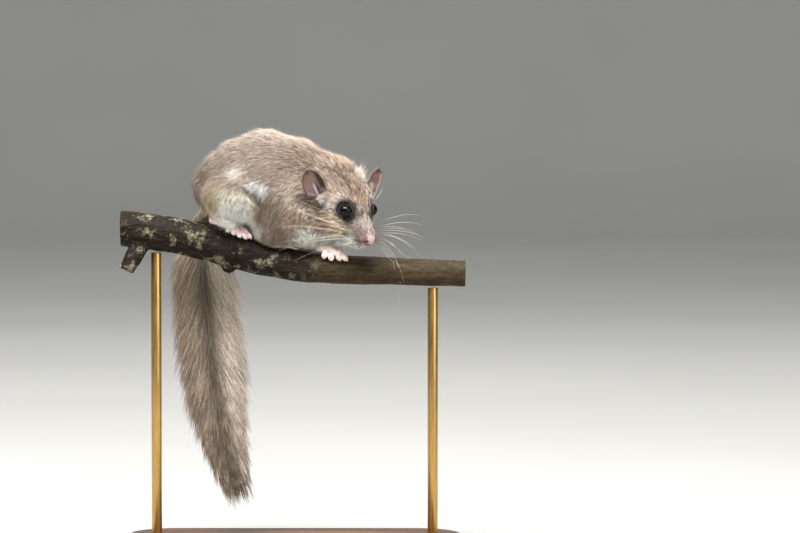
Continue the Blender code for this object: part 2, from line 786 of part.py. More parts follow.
def main():
    for obj in list(bpy.data.objects):
        bpy.data.objects.remove(obj)
    frame, perch = head_matrix(), perch_frame()

    branch = make_branch()
    base, rods = make_stand()
    tail = make_tail()

    whole = melt("torso", body_balls() + head_balls(frame), BODY_VOXEL, BODY_SMOOTHING, BODY_TRIANGLES)
    fine = melt("head", body_balls() + head_balls(frame), HEAD_VOXEL, HEAD_SMOOTHING, FINE_TRIANGLES)
    neck_way = Vector(NECK_WAY).normalized()
    half_gap = neck_way * GAP / 2 * MM
    neck_point = frame @ Vector(NECK_POINT)
    head = cut_away(fine, neck_point + half_gap, -neck_way)
    torso = cut_away(whole, neck_point - half_gap, neck_way)
    finish_head(keep_largest(head), frame)
    trim(torso, branch)

    neck = copy_of(torso, "neck")
    way = Vector(SHOULDER_WAY).normalized()
    cut_away(neck, place(*SHOULDER_POINT) + way * GAP / 2 * MM, -way)
    cut_away(torso, place(*SHOULDER_POINT) - way * GAP / 2 * MM, way)
    keep_largest(neck)
    keep_largest(torso)

    limbs = {}
    for kind, balls, fineness in (("thigh", THIGHS, 3), ("upper_arm", UPPER_ARMS, 2)):
        for hand, (centre, radii) in balls.items():
            piece = copy_of(torso, f"{kind}_{hand}")
            inner = [r + LIMB_MARGIN - GAP / 2 for r in radii]
            outer = [r + GAP for r in inner]
            combine(piece, ball(centre, inner, perch, fineness), "INTERSECT")
            combine(torso, ball(centre, outer, perch, fineness), "DIFFERENCE")
            limbs[piece.name] = keep_largest(piece)
    keep_largest(torso)

    for hand in FOREARMS:
        arm = make_forearm(hand)
        trim(arm, limbs[f"upper_arm_{hand}"], branch)
        for body in (torso, neck):
            combine(body, make_forearm(hand, GAP), "DIFFERENCE")
        limbs[arm.name] = arm
    for foot in FEET:
        kind, hand = foot[:2]
        made = make_foot(*foot)
        trim(made, branch)
        limb = limbs[f"thigh_{hand}" if kind == "hind" else f"forearm_{hand}"]
        for body in (torso, neck, limb):
            combine(body, hull(make_foot(*foot, GAP)), "DIFFERENCE")
            keep_largest(body)
        limbs[made.name] = made

    trim(tail, torso, limbs["thigh_left"], limbs["thigh_right"], branch)
    for side, name in ((-1, "right"), (1, "left")):
        ear = make_ear(side, frame)
        trim(ear, head, neck)
        eye = ball(mirrored(EYE_PLACE, side), [EYE_RADIUS] * 3, frame, fineness=3)
        eye.name = f"eye_{name}"

    fur = material("fur", FUR_COLOUR, 0.8)
    skin = material("skin", SKIN_COLOUR, 0.5)
    looks = {
        "eye": material("eye", EYE_COLOUR, 0.05),
        "ear": skin,
        "forefoot": skin,
        "hindfoot": skin,
        "perch": material("bark", BARK_COLOUR, 0.6),
        "stand_base": material("base_wood", BASE_COLOUR, 0.4),
        "stand_rod": material("rod_brass", ROD_COLOUR, 0.3, 1.0),
    }
    for obj in bpy.context.scene.objects:
        found = [looks[k] for k in looks if obj.name.startswith(k)]
        obj.data.materials.clear()
        obj.data.materials.append(found[0] if found else fur)


main()
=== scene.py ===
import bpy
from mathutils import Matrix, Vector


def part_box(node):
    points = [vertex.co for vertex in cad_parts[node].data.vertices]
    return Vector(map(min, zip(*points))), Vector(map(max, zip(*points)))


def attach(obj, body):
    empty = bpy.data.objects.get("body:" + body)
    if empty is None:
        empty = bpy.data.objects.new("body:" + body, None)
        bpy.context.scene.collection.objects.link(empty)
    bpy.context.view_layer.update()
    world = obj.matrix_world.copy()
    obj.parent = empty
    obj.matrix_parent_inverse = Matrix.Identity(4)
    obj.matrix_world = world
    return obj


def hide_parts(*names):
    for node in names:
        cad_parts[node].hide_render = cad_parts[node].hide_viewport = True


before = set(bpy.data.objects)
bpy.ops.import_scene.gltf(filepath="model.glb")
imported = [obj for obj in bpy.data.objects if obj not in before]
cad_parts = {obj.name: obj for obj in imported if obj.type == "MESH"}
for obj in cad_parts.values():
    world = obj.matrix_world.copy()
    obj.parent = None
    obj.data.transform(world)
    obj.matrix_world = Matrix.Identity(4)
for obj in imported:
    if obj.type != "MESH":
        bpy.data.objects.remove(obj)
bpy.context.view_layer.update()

import math

import bpy
import numpy as np
from mathutils import Matrix, Vector, noise
from mathutils.kdtree import KDTree

MM = 0.001
PERCH = np.array((-10.0, 0.0, 134.0))  # the perch point, in millimetres from the stand's foot
HEAD_PLACE = np.array((37.7, -11.0, 17.1))  # midway between the eyes, from the perch point
HEAD_YAW = -48.0
HEAD_PITCH = 24.0
HEAD_TURN = np.array(
    Matrix.Rotation(math.radians(HEAD_YAW), 3, "Z") @ Matrix.Rotation(math.radians(HEAD_PITCH), 3, "Y")
)
MIDDLE_Y = 4.5  # the body's middle plane
SIDES = ((-1, "right"), (1, "left"))
draw = np.random.default_rng(11)


# places


def place(x, y, z):
    """A point in metres, for one in millimetres from the perch point."""
    return Vector((np.array((x, y, z)) + PERCH) * MM)


def from_perch(points):
    """Metres, for an array of points in millimetres from the perch point."""
    return (points + PERCH) * MM


def head_place(x, y, z):
    """A point in metres, for one in the head's own millimetres: x forward, y left, z up."""
    return place(*(HEAD_TURN @ np.array((x, y, z)) + HEAD_PLACE))


def head_way(x, y, z):
    return Vector(HEAD_TURN @ np.array((x, y, z))).normalized()


def to_perch(points):
    """Millimetres from the perch point, for an array of points in metres."""
    return points / MM - PERCH


def to_head(points):
    """The head's own millimetres, for an array of points in millimetres from the perch point."""
    return (points - HEAD_PLACE) @ HEAD_TURN


def from_head(points):
    return points @ HEAD_TURN.T + HEAD_PLACE


def right_half(points):
    """Points in the body's frame, with those of its left side mirrored to its right."""
    mirrored = points.copy()
    mirrored[:, 1] = MIDDLE_Y - np.abs(mirrored[:, 1] - MIDDLE_Y)
    return mirrored


def left_half(in_head):
    """Points in the head's frame, with those of its right side mirrored to its left."""
    mirrored = in_head.copy()
    mirrored[:, 1] = np.abs(mirrored[:, 1])
    return mirrored


def unit(ways):
    return ways / np.maximum(np.linalg.norm(ways, axis=1, keepdims=True), 1e-9)


def smooth_step(low, high, value):
    part = np.clip((value - low) / (high - low), 0, 1)
    return part * part * (3 - 2 * part)


def wander(points, size, shift=0.0):
    """Smooth noise from -1 to 1 at each point, whose swells are about size millimetres across."""
    return np.array([noise.noise(Vector(p)) for p in (points / size + shift).tolist()])


def linear(hex_colour):
    """The linear colour of an sRGB hex value."""
    parts = [int(hex_colour[i : i + 2], 16) / 255 for i in (1, 3, 5)]
    return np.array([c / 12.92 if c <= 0.04045 else ((c + 0.055) / 1.055) ** 2.4 for c in parts])


def paint(tones, cover, hex_colour):
    """Lays a colour over an array of tones, as strongly as cover says for each."""
    tones += cover[:, None] * (linear(hex_colour) - tones)


# shaping


def only(obj):
    """Makes the object the one that operators act on."""
    bpy.ops.object.select_all(action="DESELECT")
    obj.select_set(True)
    bpy.context.view_layer.objects.active = obj
    return obj


def smooth_faces(obj):
    only(obj)
    bpy.ops.object.shade_smooth()
    return obj


def primitive(name, adder, **settings):
    """A new primitive under its own name, with nothing else selected."""
    bpy.ops.object.select_all(action="DESELECT")
    adder(**settings)
    bpy.context.object.name = name
    return bpy.context.object


def finish_with(obj, kind, **settings):
    """Adds a modifier and applies it."""
    only(obj)
    modifier = obj.modifiers.new(kind.lower(), kind)
    for name, value in settings.items():
        setattr(modifier, name, value)
    bpy.ops.object.modifier_apply(modifier=modifier.name)
    return obj


def in_edit(obj, *steps):
    """Runs the steps in edit mode on the whole mesh."""
    only(obj)
    bpy.ops.object.mode_set(mode="EDIT")
    bpy.ops.mesh.select_all(action="SELECT")
    for step in steps:
        step()
    bpy.ops.object.mode_set(mode="OBJECT")
    return obj


def merge_close():
    bpy.ops.mesh.remove_doubles(threshold=1e-6)


def face_outwards():
    bpy.ops.mesh.normals_make_consistent(inside=False)


def read(items, field, wide=1, kind=np.float32):
    """A field of all of a mesh's points, corners or faces, with wide numbers for each."""
    found = np.empty(len(items) * wide, kind)
    items.foreach_get(field, found)
    return found.reshape(-1, wide) if wide > 1 else found


def points_of(obj):
    return read(obj.data.vertices, "co", 3).astype(np.float64)


def normals_of(obj):
    return read(obj.data.vertex_normals, "vector", 3).astype(np.float64)


def move_points(obj, points):
    obj.data.vertices.foreach_set("co", np.ascontiguousarray(points, np.float32).ravel())
    obj.data.update()
    return obj


def join(name, pieces):
    only(pieces[0])
    for piece in pieces:
        piece.select_set(True)
    bpy.ops.object.join()
    pieces[0].name = name
    return pieces[0]


def cad_copy(node):
    """A copy of a CAD node as one connected mesh."""
    made = bpy.data.objects.new(node + "_copy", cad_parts[node].data.copy())
    bpy.context.scene.collection.objects.link(made)
    made.data.materials.clear()
    return in_edit(made, merge_close)


def placed_copy(template, matrix, name="copy"):
    """A copy of a template with its own mesh, put in its place."""
    made = bpy.data.objects.new(name, template.data.copy())
    bpy.context.scene.collection.objects.link(made)
    made.data.transform(matrix)
    return made


def rest_at_origin(obj):
    only(obj)
    bpy.ops.object.transform_apply(location=True, rotation=True, scale=True)
    return obj


def drop(*objects):
    for obj in objects:
        bpy.data.objects.remove(obj)


def wound_grid(name, around, along, shape):
    """A flat grid laid into a form: shape gives the point in metres at (u, v), both from 0 to 1."""
    made = primitive(
        name, bpy.ops.mesh.primitive_grid_add, x_subdivisions=around, y_subdivisions=along, size=1
    )
    flat = points_of(made) + 0.5
    return move_points(made, np.array([shape(u, v) for u, v in flat[:, :2]]))


def add(tree, kind, inputs=(), **settings):
    """Adds a node; an input takes a value, or the output that feeds it."""
    made = tree.nodes.new(kind)
    for name, value in settings.items():
        setattr(made, name, value)
    for name, value in dict(inputs).items():
        if isinstance(value, bpy.types.NodeSocket):
            tree.links.new(value, made.inputs[name])
        else:
            made.inputs[name].default_value = value
    return made


def stops(ramp, *found):
    """Sets a colour ramp's stops, each (place, sRGB hex)."""
    elements = ramp.color_ramp.elements
    while len(elements) < len(found):
        elements.new(0.5)
    for element, (where, hex_colour) in zip(elements, found):
        element.position = where
        element.color = (*linear(hex_colour), 1)
    return ramp


def new_material(name, **values):
    """A Principled material with its constant values on the shader's own sockets."""
    made = bpy.data.materials.new(name)
    made.use_nodes = True
    shader = made.node_tree.nodes["Principled BSDF"]
    for key, value in values.items():
        shader.inputs[key.replace("_", " ").title().replace("Ior", "IOR")].default_value = value
    return made, made.node_tree, shader


def dress(obj, material, slot, *nodes):
    """Gives a finished piece its material and its body, and hides the nodes that it stands for. The slot is
    not used.
    """
    obj.data.materials.clear()
    obj.data.materials.append(material)
    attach(obj, "root")
    if nodes:
        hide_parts(*nodes)
    return obj


# the coat: its lie, its length and its markings

# The lie of the coat: (place, way that the hair lies, hair length, degrees that it stands up at its
# root, reach of this guide), in the body's frame for the body and in the head's for the head. Each
# holds for both sides.
BODY_LIE = (
    ((25.0, 4.5, 39.0), (-0.85, 0.0, 0.2), 5.4, 36, 8.0),
    ((10.0, 4.5, 48.0), (-1.0, 0.0, 0.1), 5.6, 34, 9.0),
    ((-3.0, 4.5, 53.0), (-1.0, 0.0, -0.1), 5.8, 34, 9.0),
    ((-17.0, 5.0, 48.0), (-0.9, 0.0, -0.45), 6.0, 34, 9.0),
    ((-29.0, 7.0, 36.0), (-0.5, 0.0, -0.85), 6.2, 34, 9.0),
    ((-34.0, 9.0, 22.0), (-0.12, 0.0, -1.0), 6.2, 34, 8.0),
    ((-28.0, 9.0, 8.0), (0.0, 0.1, -1.0), 5.5, 30, 7.0),
    ((-4.0, -13.5, 34.0), (-0.85, 0.0, -0.5), 5.8, 34, 9.0),
    ((14.0, -12.0, 30.0), (-0.85, 0.0, -0.5), 5.6, 34, 8.0),
    ((-20.0, -12.0, 36.0), (-0.7, 0.0, -0.75), 6.0, 34, 8.0),
    ((-17.0, -18.5, 24.0), (-0.4, 0.0, -0.9), 4.6, 34, 7.0),
    ((-14.0, -18.5, 17.0), (0.0, 0.0, -1.0), 4.4, 28, 6.0),
    ((-21.0, -15.0, 11.0), (0.2, 0.0, -1.0), 6.4, 20, 5.0),
    ((-10.0, -14.0, 10.0), (0.3, 0.0, -1.0), 5.0, 18, 4.5),
    ((-5.0, -15.0, 20.0), (0.1, 0.0, -1.0), 4.6, 32, 6.0),
    ((3.0, -11.5, 14.0), (-0.5, 0.0, -0.85), 5.4, 33, 7.0),
    ((2.0, -6.0, 3.0), (-0.5, 0.0, -0.8), 4.6, 26, 7.0),
    ((4.0, 4.0, 0.0), (-1.0, 0.0, 0.0), 3.6, 24, 8.0),
    ((10.0, -15.0, 17.0), (-0.25, 0.0, -0.95), 4.6, 32, 6.0),
    ((10.0, -13.5, 9.0), (0.3, 0.0, -0.9), 3.0, 24, 4.0),
    ((16.0, -9.0, 5.5), (0.7, 0.3, -0.6), 2.0, 22, 3.5),
    ((21.0, -4.0, 3.0), (0.8, 0.4, -0.4), 1.2, 20, 2.5),
    ((22.0, -10.0, 14.0), (-0.6, 0.0, -0.8), 5.0, 32, 7.0),
    ((24.0, -4.0, 4.0), (-0.5, 0.0, -0.8), 4.4, 30, 6.0),
)
HEAD_LIE = (
    ((13.5, 0.0, -5.4), (-0.9, 0.0, 0.4), 0.7, 22, 1.5),
    ((9.0, 0.0, -3.2), (-0.95, 0.0, 0.3), 1.9, 30, 3.0),
    ((3.0, 0.0, 2.2), (-0.95, 0.0, 0.35), 2.8, 36, 3.5),
    ((-3.0, 0.0, 7.6), (-0.97, 0.0, 0.2), 3.4, 40, 4.5),
    ((-9.0, 0.0, 11.3), (-1.0, 0.0, 0.0), 4.2, 44, 5.0),
    ((-17.0, 0.0, 11.5), (-1.0, 0.0, -0.1), 4.8, 46, 6.0),
    ((10.8, 3.4, -7.5), (-0.9, 0.3, 0.0), 1.1, 24, 2.2),
    ((6.5, 5.6, -7.0), (-0.95, 0.3, 0.0), 2.0, 30, 3.0),
    ((4.5, 5.6, -2.0), (-0.9, 0.3, 0.25), 1.7, 28, 2.5),
    ((0.5, 7.0, 4.6), (-0.85, 0.3, 0.4), 1.8, 30, 2.5),
    ((-4.4, 9.5, 1.5), (-0.95, 0.3, 0.0), 2.4, 32, 3.0),
    ((0.5, 9.0, -4.2), (-0.95, 0.2, -0.15), 2.4, 32, 3.0),
    ((-3.5, 11.0, -7.0), (-0.93, 0.1, -0.3), 3.4, 36, 4.0),
    ((-10.0, 12.0, -5.0), (-0.95, 0.0, -0.25), 4.2, 38, 5.0),
    ((-8.0, 9.5, 6.0), (-0.9, 0.3, 0.3), 3.4, 40, 4.0),
    ((-9.0, 12.2, 0.5), (-0.6, 0.5, 0.6), 3.6, 50, 2.6),
    ((-16.0, 11.0, 4.0), (-1.0, 0.0, -0.15), 4.8, 42, 5.0),
    ((9.0, 0.0, -12.4), (-1.0, 0.0, -0.2), 1.8, 30, 3.0),
    ((5.0, 4.0, -12.0), (-0.95, 0.2, -0.3), 2.2, 32, 3.0),
    ((0.0, 0.0, -15.5), (-0.95, 0.0, -0.2), 3.0, 32, 4.5),
    ((-5.0, 6.0, -14.5), (-0.9, 0.1, -0.4), 3.8, 34, 5.0),
    ((-10.0, 0.0, -15.0), (-0.9, 0.0, -0.4), 4.4, 34, 6.0),
)
# Where the head's hair outgrows the depth that the skin leaves for it: (place, sizes, longer by this
# share, degrees more that it stands up).
FLUFF = (
    ((-10.0, 9.5, 6.0), (6.0, 5.0, 7.0), 0.35, 14),
    ((-14.0, 2.0, 11.0), (6.0, 8.0, 5.0), 0.25, 12),
    ((1.0, 3.0, -14.5), (8.0, 6.0, 3.5), 0.75, 20),
)
BEND = 0.62  # how much of its standing up a hair has lost at its tip

# The markings, each painted over the last: (frame, place, half sizes, colour, strength, softness).
# The body's are given on its right side and the head's on its left, and both hold for both sides.
# Three of them are partly painted shade, as noted by each.
BACK_BROWN = "#bdac9d"
MARKINGS_AND_PAINTED_SHADE = (
    ("body", (-2.0, 4.5, 54.0), (34.0, 18.0, 13.0), "#baaa9c", 0.75, 0.5),
    ("body", (6.0, 4.5, 37.0), (14.0, 24.0, 8.0), "#a39181", 0.6, 0.5),
    ("body", (-34.0, 4.5, 24.0), (12.0, 22.0, 22.0), "#9f8c79", 0.75, 0.5),
    # the lower flank over the branch: partly the fur's darker colour, partly painted shade
    ("body", (3.5, 4.5, 10.0), (12.0, 24.0, 15.0), "#95806c", 0.75, 0.4),
    ("body", (12.0, 4.5, 25.0), (9.5, 24.0, 9.5), "#dccab6", 0.85, 0.5),
    ("body", (24.0, 0.0, 37.0), (18.0, 22.0, 14.0), "#a28d7b", 0.75, 0.5),
    ("body", (-23.0, 4.5, 18.0), (8.0, 27.0, 10.0), "#c2b184", 0.8, 0.35),
    ("body", (-16.2, 4.5, 22.0), (10.2, 27.0, 7.4), "#efe7d4", 0.95, 0.2),
    ("body", (-10.0, 4.5, 20.6), (6.0, 27.0, 5.8), "#f6f0e2", 0.9, 0.3),
    ("body", (-15.4, 4.5, 15.5), (10.4, 27.0, 9.0), "#fbf7ec", 1.0, 0.15),
    ("body", (-11.5, 4.5, 7.0), (8.4, 27.0, 8.0), "#f8f4ea", 1.0, 0.15),
    ("body", (2.0, 4.5, -2.0), (24.0, 14.0, 4.6), "#e2e1d8", 0.9, 0.35),
    ("body", (-6.9, -16.0, 27.7), (3.3, 8.0, 1.7), "#fafcf8", 1.0, 0.2),
    ("body", (-2.9, -15.0, 25.0), (2.1, 8.0, 3.5), "#f8faf6", 1.0, 0.25),
    ("body", (-15.0, -13.0, 33.6), (3.4, 8.0, 2.6), "#eae5df", 0.8, 0.75),
    ("body", (9.6, -16.0, 15.0), (3.4, 7.0, 2.6), "#b98f66", 0.35, 0.7),
    ("body", (26.0, -9.0, 3.0), (17.0, 13.0, 8.5), "#d3d3c8", 1.0, 0.25),
    # the throat: white fur, greyed by painted shade and tinted by a painted green reflection
    ("head", (-7.0, 0.0, -17.5), (14.0, 15.0, 7.4), "#d0d1c4", 1.0, 0.2),
    ("head", (-11.0, 0.0, 9.0), (12.0, 10.0, 9.0), "#967e6d", 0.8, 0.5),
    ("head", (-2.0, 2.0, 6.5), (9.0, 2.6, 6.0), "#7a5943", 0.5, 0.6),
    ("head", (-6.0, 9.5, 4.5), (5.0, 3.0, 3.6), "#c9baa6", 0.5, 0.6),
    ("head", (-4.0, 13.0, -5.0), (10.0, 7.0, 4.6), "#b09b7e", 0.6, 0.5),
    ("head", (-4.6, 12.4, -10.0), (5.0, 6.0, 3.0), "#9c6d3a", 0.7, 0.6),
    ("head", (2.4, 9.0, -8.8), (4.0, 4.0, 1.8), "#b08a54", 0.6, 0.6),
    # behind the ear's root: partly dark hair, partly painted shade cast by the ear
    ("head", (-14.0, 18.0, -1.5), (5.0, 5.0, 3.0), "#5f4d3b", 0.6, 0.6),
    ("head", (-8.6, 12.4, -0.6), (3.4, 4.0, 2.4), "#e6dedc", 1.0, 0.4),
    ("head", (7.0, 0.0, -13.2), (10.0, 9.0, 3.2), "#d9d9cd", 1.0, 0.25),
    ("head", (6.0, 0.0, -3.4), (6.6, 6.5, 5.4), "#a1968e", 0.85, 0.5),
    ("head", (10.4, 3.9, -6.8), (4.4, 3.8, 4.2), "#785b59", 0.85, 0.45),
    ("head", (13.0, 0.0, -6.8), (2.8, 3.4, 4.4), "#a18a85", 0.9, 0.3),
    ("head", (0.3, 6.8, 0.8), (4.9, 4.9, 4.9), "#5c504a", 1.0, 0.15),
    ("head", (0.45, 6.8, 0.5), (4.1, 4.1, 4.1), "#3a3230", 0.95, 0.2),
)
# Dark lines through the whisker roots: (from, to, half width, strength), in the head's frame.
WHISKER_LINES = (
    ((5.4, 5.8, -5.0), (-1.1, 11.0, -5.0), 0.42, 0.75),
    ((6.4, 5.4, -6.3), (-1.6, 10.8, -6.6), 0.40, 0.65),
    ((7.2, 5.2, -7.6), (0.5, 9.8, -8.2), 0.34, 0.5),
    ((4.6, 5.0, -2.6), (7.8, 3.6, -4.0), 0.60, 0.5),
)
WHISKER_LINE_BROWN = "#4b3a31"
# The folds of the flank, in the body's frame: (from, to, half width, strength, colour, depth in the skin).
# The first fold's near-black line is painted shadow in its crease.
FOLDS = (
    ((-9.9, -16.9, 26.4), (-3.6, -14.8, 21.2), 0.85, 1.0, "#2f2e2c", 0.6),
    ((-6.4, -15.4, 20.4), (-3.8, -14.0, 13.0), 0.9, 0.6, "#a3733f", 0.3),
)
# Where the skin is set deeper, or less deep, under the coat: (place in the body's frame, sizes, millimetres).
SKIN_TRIM = (
    ((-8.0, 4.5, 52.0), (16.0, 22.0, 9.0), 1.3),
    ((-23.5, 4.5, 43.5), (5.5, 22.0, 9.0), 1.7),
    ((-35.0, 4.5, 17.0), (8.0, 22.0, 7.0), 2.8),
    ((20.0, 4.5, 43.0), (4.5, 14.0, 6.0), -0.9),
    ((31.0, 0.0, 38.0), (6.0, 12.0, 7.0), -1.6),
)


def guide_table():
    """Every guide of the lie with its twin on the other side, in millimetres from the perch point."""
    rows = []
    for (x, y, z), (wx, wy, wz), *rest in BODY_LIE:
        rows.append(((x, y, z), (wx, wy, wz), *rest))
        rows.append(((x, 2 * MIDDLE_Y - y, z), (wx, -wy, wz), *rest))
    for spot, way, *rest in HEAD_LIE:
        for hand in (-1, 1):
            turned = HEAD_TURN @ (np.array(way) * (1, hand, 1))
            rows.append((HEAD_TURN @ (np.array(spot) * (1, hand, 1)) + HEAD_PLACE, turned, *rest))
    spots, ways, lengths, stands, reaches = (np.array(column) for column in zip(*rows))
    return spots, unit(ways), lengths, np.radians(stands), reaches


GUIDES = guide_table()


def lie_at(points):
    """(way, hair length in millimetres, angle at the root) at points in millimetres from the perch point."""
    way = np.zeros_like(points)
    length = np.zeros(len(points))
    stand = np.zeros(len(points))
    total = np.zeros(len(points))
    for spot, guide_way, guide_length, guide_stand, reach in zip(*GUIDES):
        far = ((points - spot) ** 2).sum(1) / (2 * reach * reach)
        weight = np.exp(-far) + 1e-6 / (1 + far)
        way += weight[:, None] * guide_way
        length += weight * guide_length
        stand += weight * guide_stand
        total += weight
    return unit(way), length / total, stand / total


def coat_depth(length, stand):
    """How deep the coat is over the skin: the height of the hairs' tips."""
    steps = np.linspace(0, 1, 8)
    return length * np.sin(stand[:, None] * (1 - BEND * steps)).mean(axis=1) * 1.05 + 0.5


def segment_distance(points, a, b):
    """How far points are from the segment between a and b."""
    a = np.array(a)
    way = np.array(b) - a
    part = np.clip((points - a) @ way / (way @ way), 0, 1)
    return np.linalg.norm(points - a - part[:, None] * way, axis=1)


def fold_distance(in_body, a, b):
    """How far points are from a fold's line, as seen from the side."""
    flat = np.array((1.0, 0.0, 1.0))
    return segment_distance(in_body * flat, a * flat, b * flat)


def coat_colour(points):
    """The coat's mean colour at points in millimetres from the perch point: its markings, softly edged, and
    the painted shade and shadow among them.
    """
    found = np.tile(linear(BACK_BROWN), (len(points), 1))
    in_head, in_body = left_half(to_head(points)), right_half(points)
    edge = 0.13 * wander(points, 4.0) + 0.06 * wander(points, 1.6, 5.0)
    for where, spot, sizes, hex_colour, strength, softness in MARKINGS_AND_PAINTED_SHADE:
        here = in_head if where == "head" else in_body
        away = np.sqrt((((here - np.array(spot)) / sizes) ** 2).sum(1)) + edge
        paint(found, strength * (1 - smooth_step(1 - softness, 1 + softness, away)), hex_colour)
    for a, b, width, strength in WHISKER_LINES:
        cover = strength * np.exp(-((segment_distance(in_head, a, b) / width) ** 2))
        paint(found, cover, WHISKER_LINE_BROWN)
    # the first fold's dark line is painted shadow in the crease
    for a, b, width, strength, hex_colour, _ in FOLDS:
        paint(found, strength * np.exp(-((fold_distance(in_body, a, b) / width) ** 2)), hex_colour)
    patches = 1 + 0.05 * wander(points, 6.0, 9.0) + 0.05 * wander(points, 2.2, 3.0)
    patches += mottle_at(points) * 1.2 * wander(points, 1.3, 6.0)
    return np.clip(found * patches[:, None], 0, 1)


def mottle_at(points):
    """How strongly the tone varies from tuft to tuft: more on the head than on the body."""
    near_head = 1 - smooth_step(17.0, 27.0, np.linalg.norm(to_head(points) - (-3.0, 0.0, 0.0), axis=1))
    return 0.15 + 0.21 * near_head


def store_tone(mesh, colours):
    """Keeps a colour for each point, which the materials of the skin and the coat read."""
    tone = mesh.attributes.new("coat_tone", "FLOAT_COLOR", "POINT")
    whole = np.ones((len(mesh.vertices), 4), np.float32)
    whole[:, :3] = colours
    tone.data.foreach_set("color", whole.ravel())


# hairs as solid tapered strands


BAKE_PATCH = 0.003  # how wide each hair's own patch is on the unwrap


def unwrap_spots(obj):
    """Each of the mesh's points' place on its unwrap."""
    spots = np.zeros((len(obj.data.vertices), 2))
    corners = read(obj.data.loops, "vertex_index", 1, np.int32)
    spots[corners] = read(obj.data.uv_layers["OFBake"].uv, "vector", 2)
    return spots


def strand_mesh(name, centres, sides, ups, widths, tones, spots):
    """One mesh of tapered three-sided strands, each closed at its root and ending in a point.

    centres is (strands, stations, 3) in millimetres from the perch point, the last station being the
    tip; widths is (strands, stations - 1); tones is (strands, stations, 3); spots is each root's place
    on the skin's unwrap.
    """
    count, stations = centres.shape[:2]
    rings = stations - 1
    corners = np.stack((sides, -sides, ups * 0.9), axis=1)[:, None]
    tube = centres[:, :rings, None] + corners * widths[:, :, None, None]
    points = np.concatenate((tube.reshape(count, rings * 3, 3), centres[:, -1:]), axis=1)
    per = rings * 3 + 1
    faces = [(2, 1, 0)]
    for r in range(rings - 1):
        for k in range(3):
            n = (k + 1) % 3
            a, b, c, d = r * 3 + k, r * 3 + n, r * 3 + 3 + n, r * 3 + 3 + k
            faces += [(a, b, c), (a, c, d)]
    last = (rings - 1) * 3
    faces += [(last + k, last + (k + 1) % 3, per - 1) for k in range(3)]
    faces = np.array(faces)
    every = (faces[None] + (np.arange(count) * per)[:, None, None]).reshape(-1)
    mesh = bpy.data.meshes.new(name)
    mesh.vertices.add(count * per)
    mesh.vertices.foreach_set("co", from_perch(points.reshape(-1, 3)).astype(np.float32).ravel())
    mesh.loops.add(len(every))
    mesh.loops.foreach_set("vertex_index", every.astype(np.int32))
    mesh.polygons.add(len(every) // 3)
    mesh.polygons.foreach_set("loop_start", np.arange(0, len(every), 3, dtype=np.int32))
    mesh.update(calc_edges=True)
    mesh.polygons.foreach_set("use_smooth", np.ones(len(every) // 3, bool))
    levels = np.concatenate((np.repeat(tones[:, :rings], 3, axis=1), tones[:, -1:]), axis=1)
    store_tone(mesh, levels.reshape(-1, 3))
    along = np.append(np.repeat(np.linspace(0, 1, stations)[:rings], 3), 1.0)
    across = np.append(np.tile((0.0, 1.0, 0.5), rings), 0.5)
    local = (np.stack((across, along), axis=1) - 0.5) * BAKE_PATCH
    bake = np.clip(spots[:, None] + local[None], 0.001, 0.999).reshape(-1, 2)
    layer = mesh.uv_layers.new(name="OFBake")
    layer.uv.foreach_set("vector", bake[every].astype(np.float32).ravel())
    made = bpy.data.objects.new(name, mesh)
    bpy.context.scene.collection.objects.link(made)
    return made


def search_tree(points):
    """A tree that finds which of the points is the nearest."""
    tree = KDTree(len(points))
    for i, point in enumerate(points):
        tree.insert(point, i)
    tree.balance()
    return tree


def clumps(roots, size):
    """For each root, which clump it belongs to, and the root that leads the clump."""
    count = len(roots)
    heads = draw.permutation(count)[: max(1, count // size)]
    nearest = search_tree(roots[heads])
    member = np.array([nearest.find(p)[1] for p in roots.tolist()])
    return member, heads[member]


def gather(centres, leaders, pull):
    """Draws the tips of each clump's hairs towards their leader's."""
    steps = centres.shape[1] - 1
    roots = centres[:, 0].copy()
    for k in range(1, steps + 1):
        share = pull * (k / steps) ** 1.5
        own = centres[:, k] - roots
        led = centres[leaders, k] - roots
        centres[:, k] = roots + own * (1 - share) + led * share


def grow(roots, normals, ways, lengths, lifts, width, stations, clump, pull):
    """Bends a strand from each root along its way. Returns its centres, side, up, widths and clump."""
    count = len(roots)
    ways = unit(ways - normals * (ways * normals).sum(1, keepdims=True))
    member, leaders = clumps(roots, clump)
    many = member.max() + 1
    sides = np.cross(ways, normals)
    swing = 0.06 * draw.standard_normal(many)[member] + 0.12 * draw.standard_normal(count)
    swing += 0.04 * wander(roots, 9.0, 2.0)
    ways = unit(ways + sides * swing[:, None])
    sides = unit(np.cross(ways, normals))
    lengths = lengths * (1 + 0.07 * draw.standard_normal(many)[member])
    lifts = lifts * (1 + 0.07 * draw.standard_normal(many)[member])
    steps = stations - 1
    centres = np.empty((count, stations, 3))
    centres[:, 0] = roots - normals * np.minimum(0.25, lengths * 0.2)[:, None]
    here = roots
    for k in range(steps):
        falling = lifts * (1 - BEND * k / max(1, steps - 1))
        step = ways * np.cos(falling)[:, None] + normals * np.sin(falling)[:, None]
        here = here + step * (lengths / steps)[:, None]
        centres[:, k + 1] = here
    gather(centres, leaders, pull)
    centres[:, 1:] = clear_of_bark(centres[:, 1:])
    widths = width[:, None] * np.linspace(1.0, 0.72, steps)[None]
    ups = unit(np.cross(sides, ways))
    return centres, sides, ups, widths, member


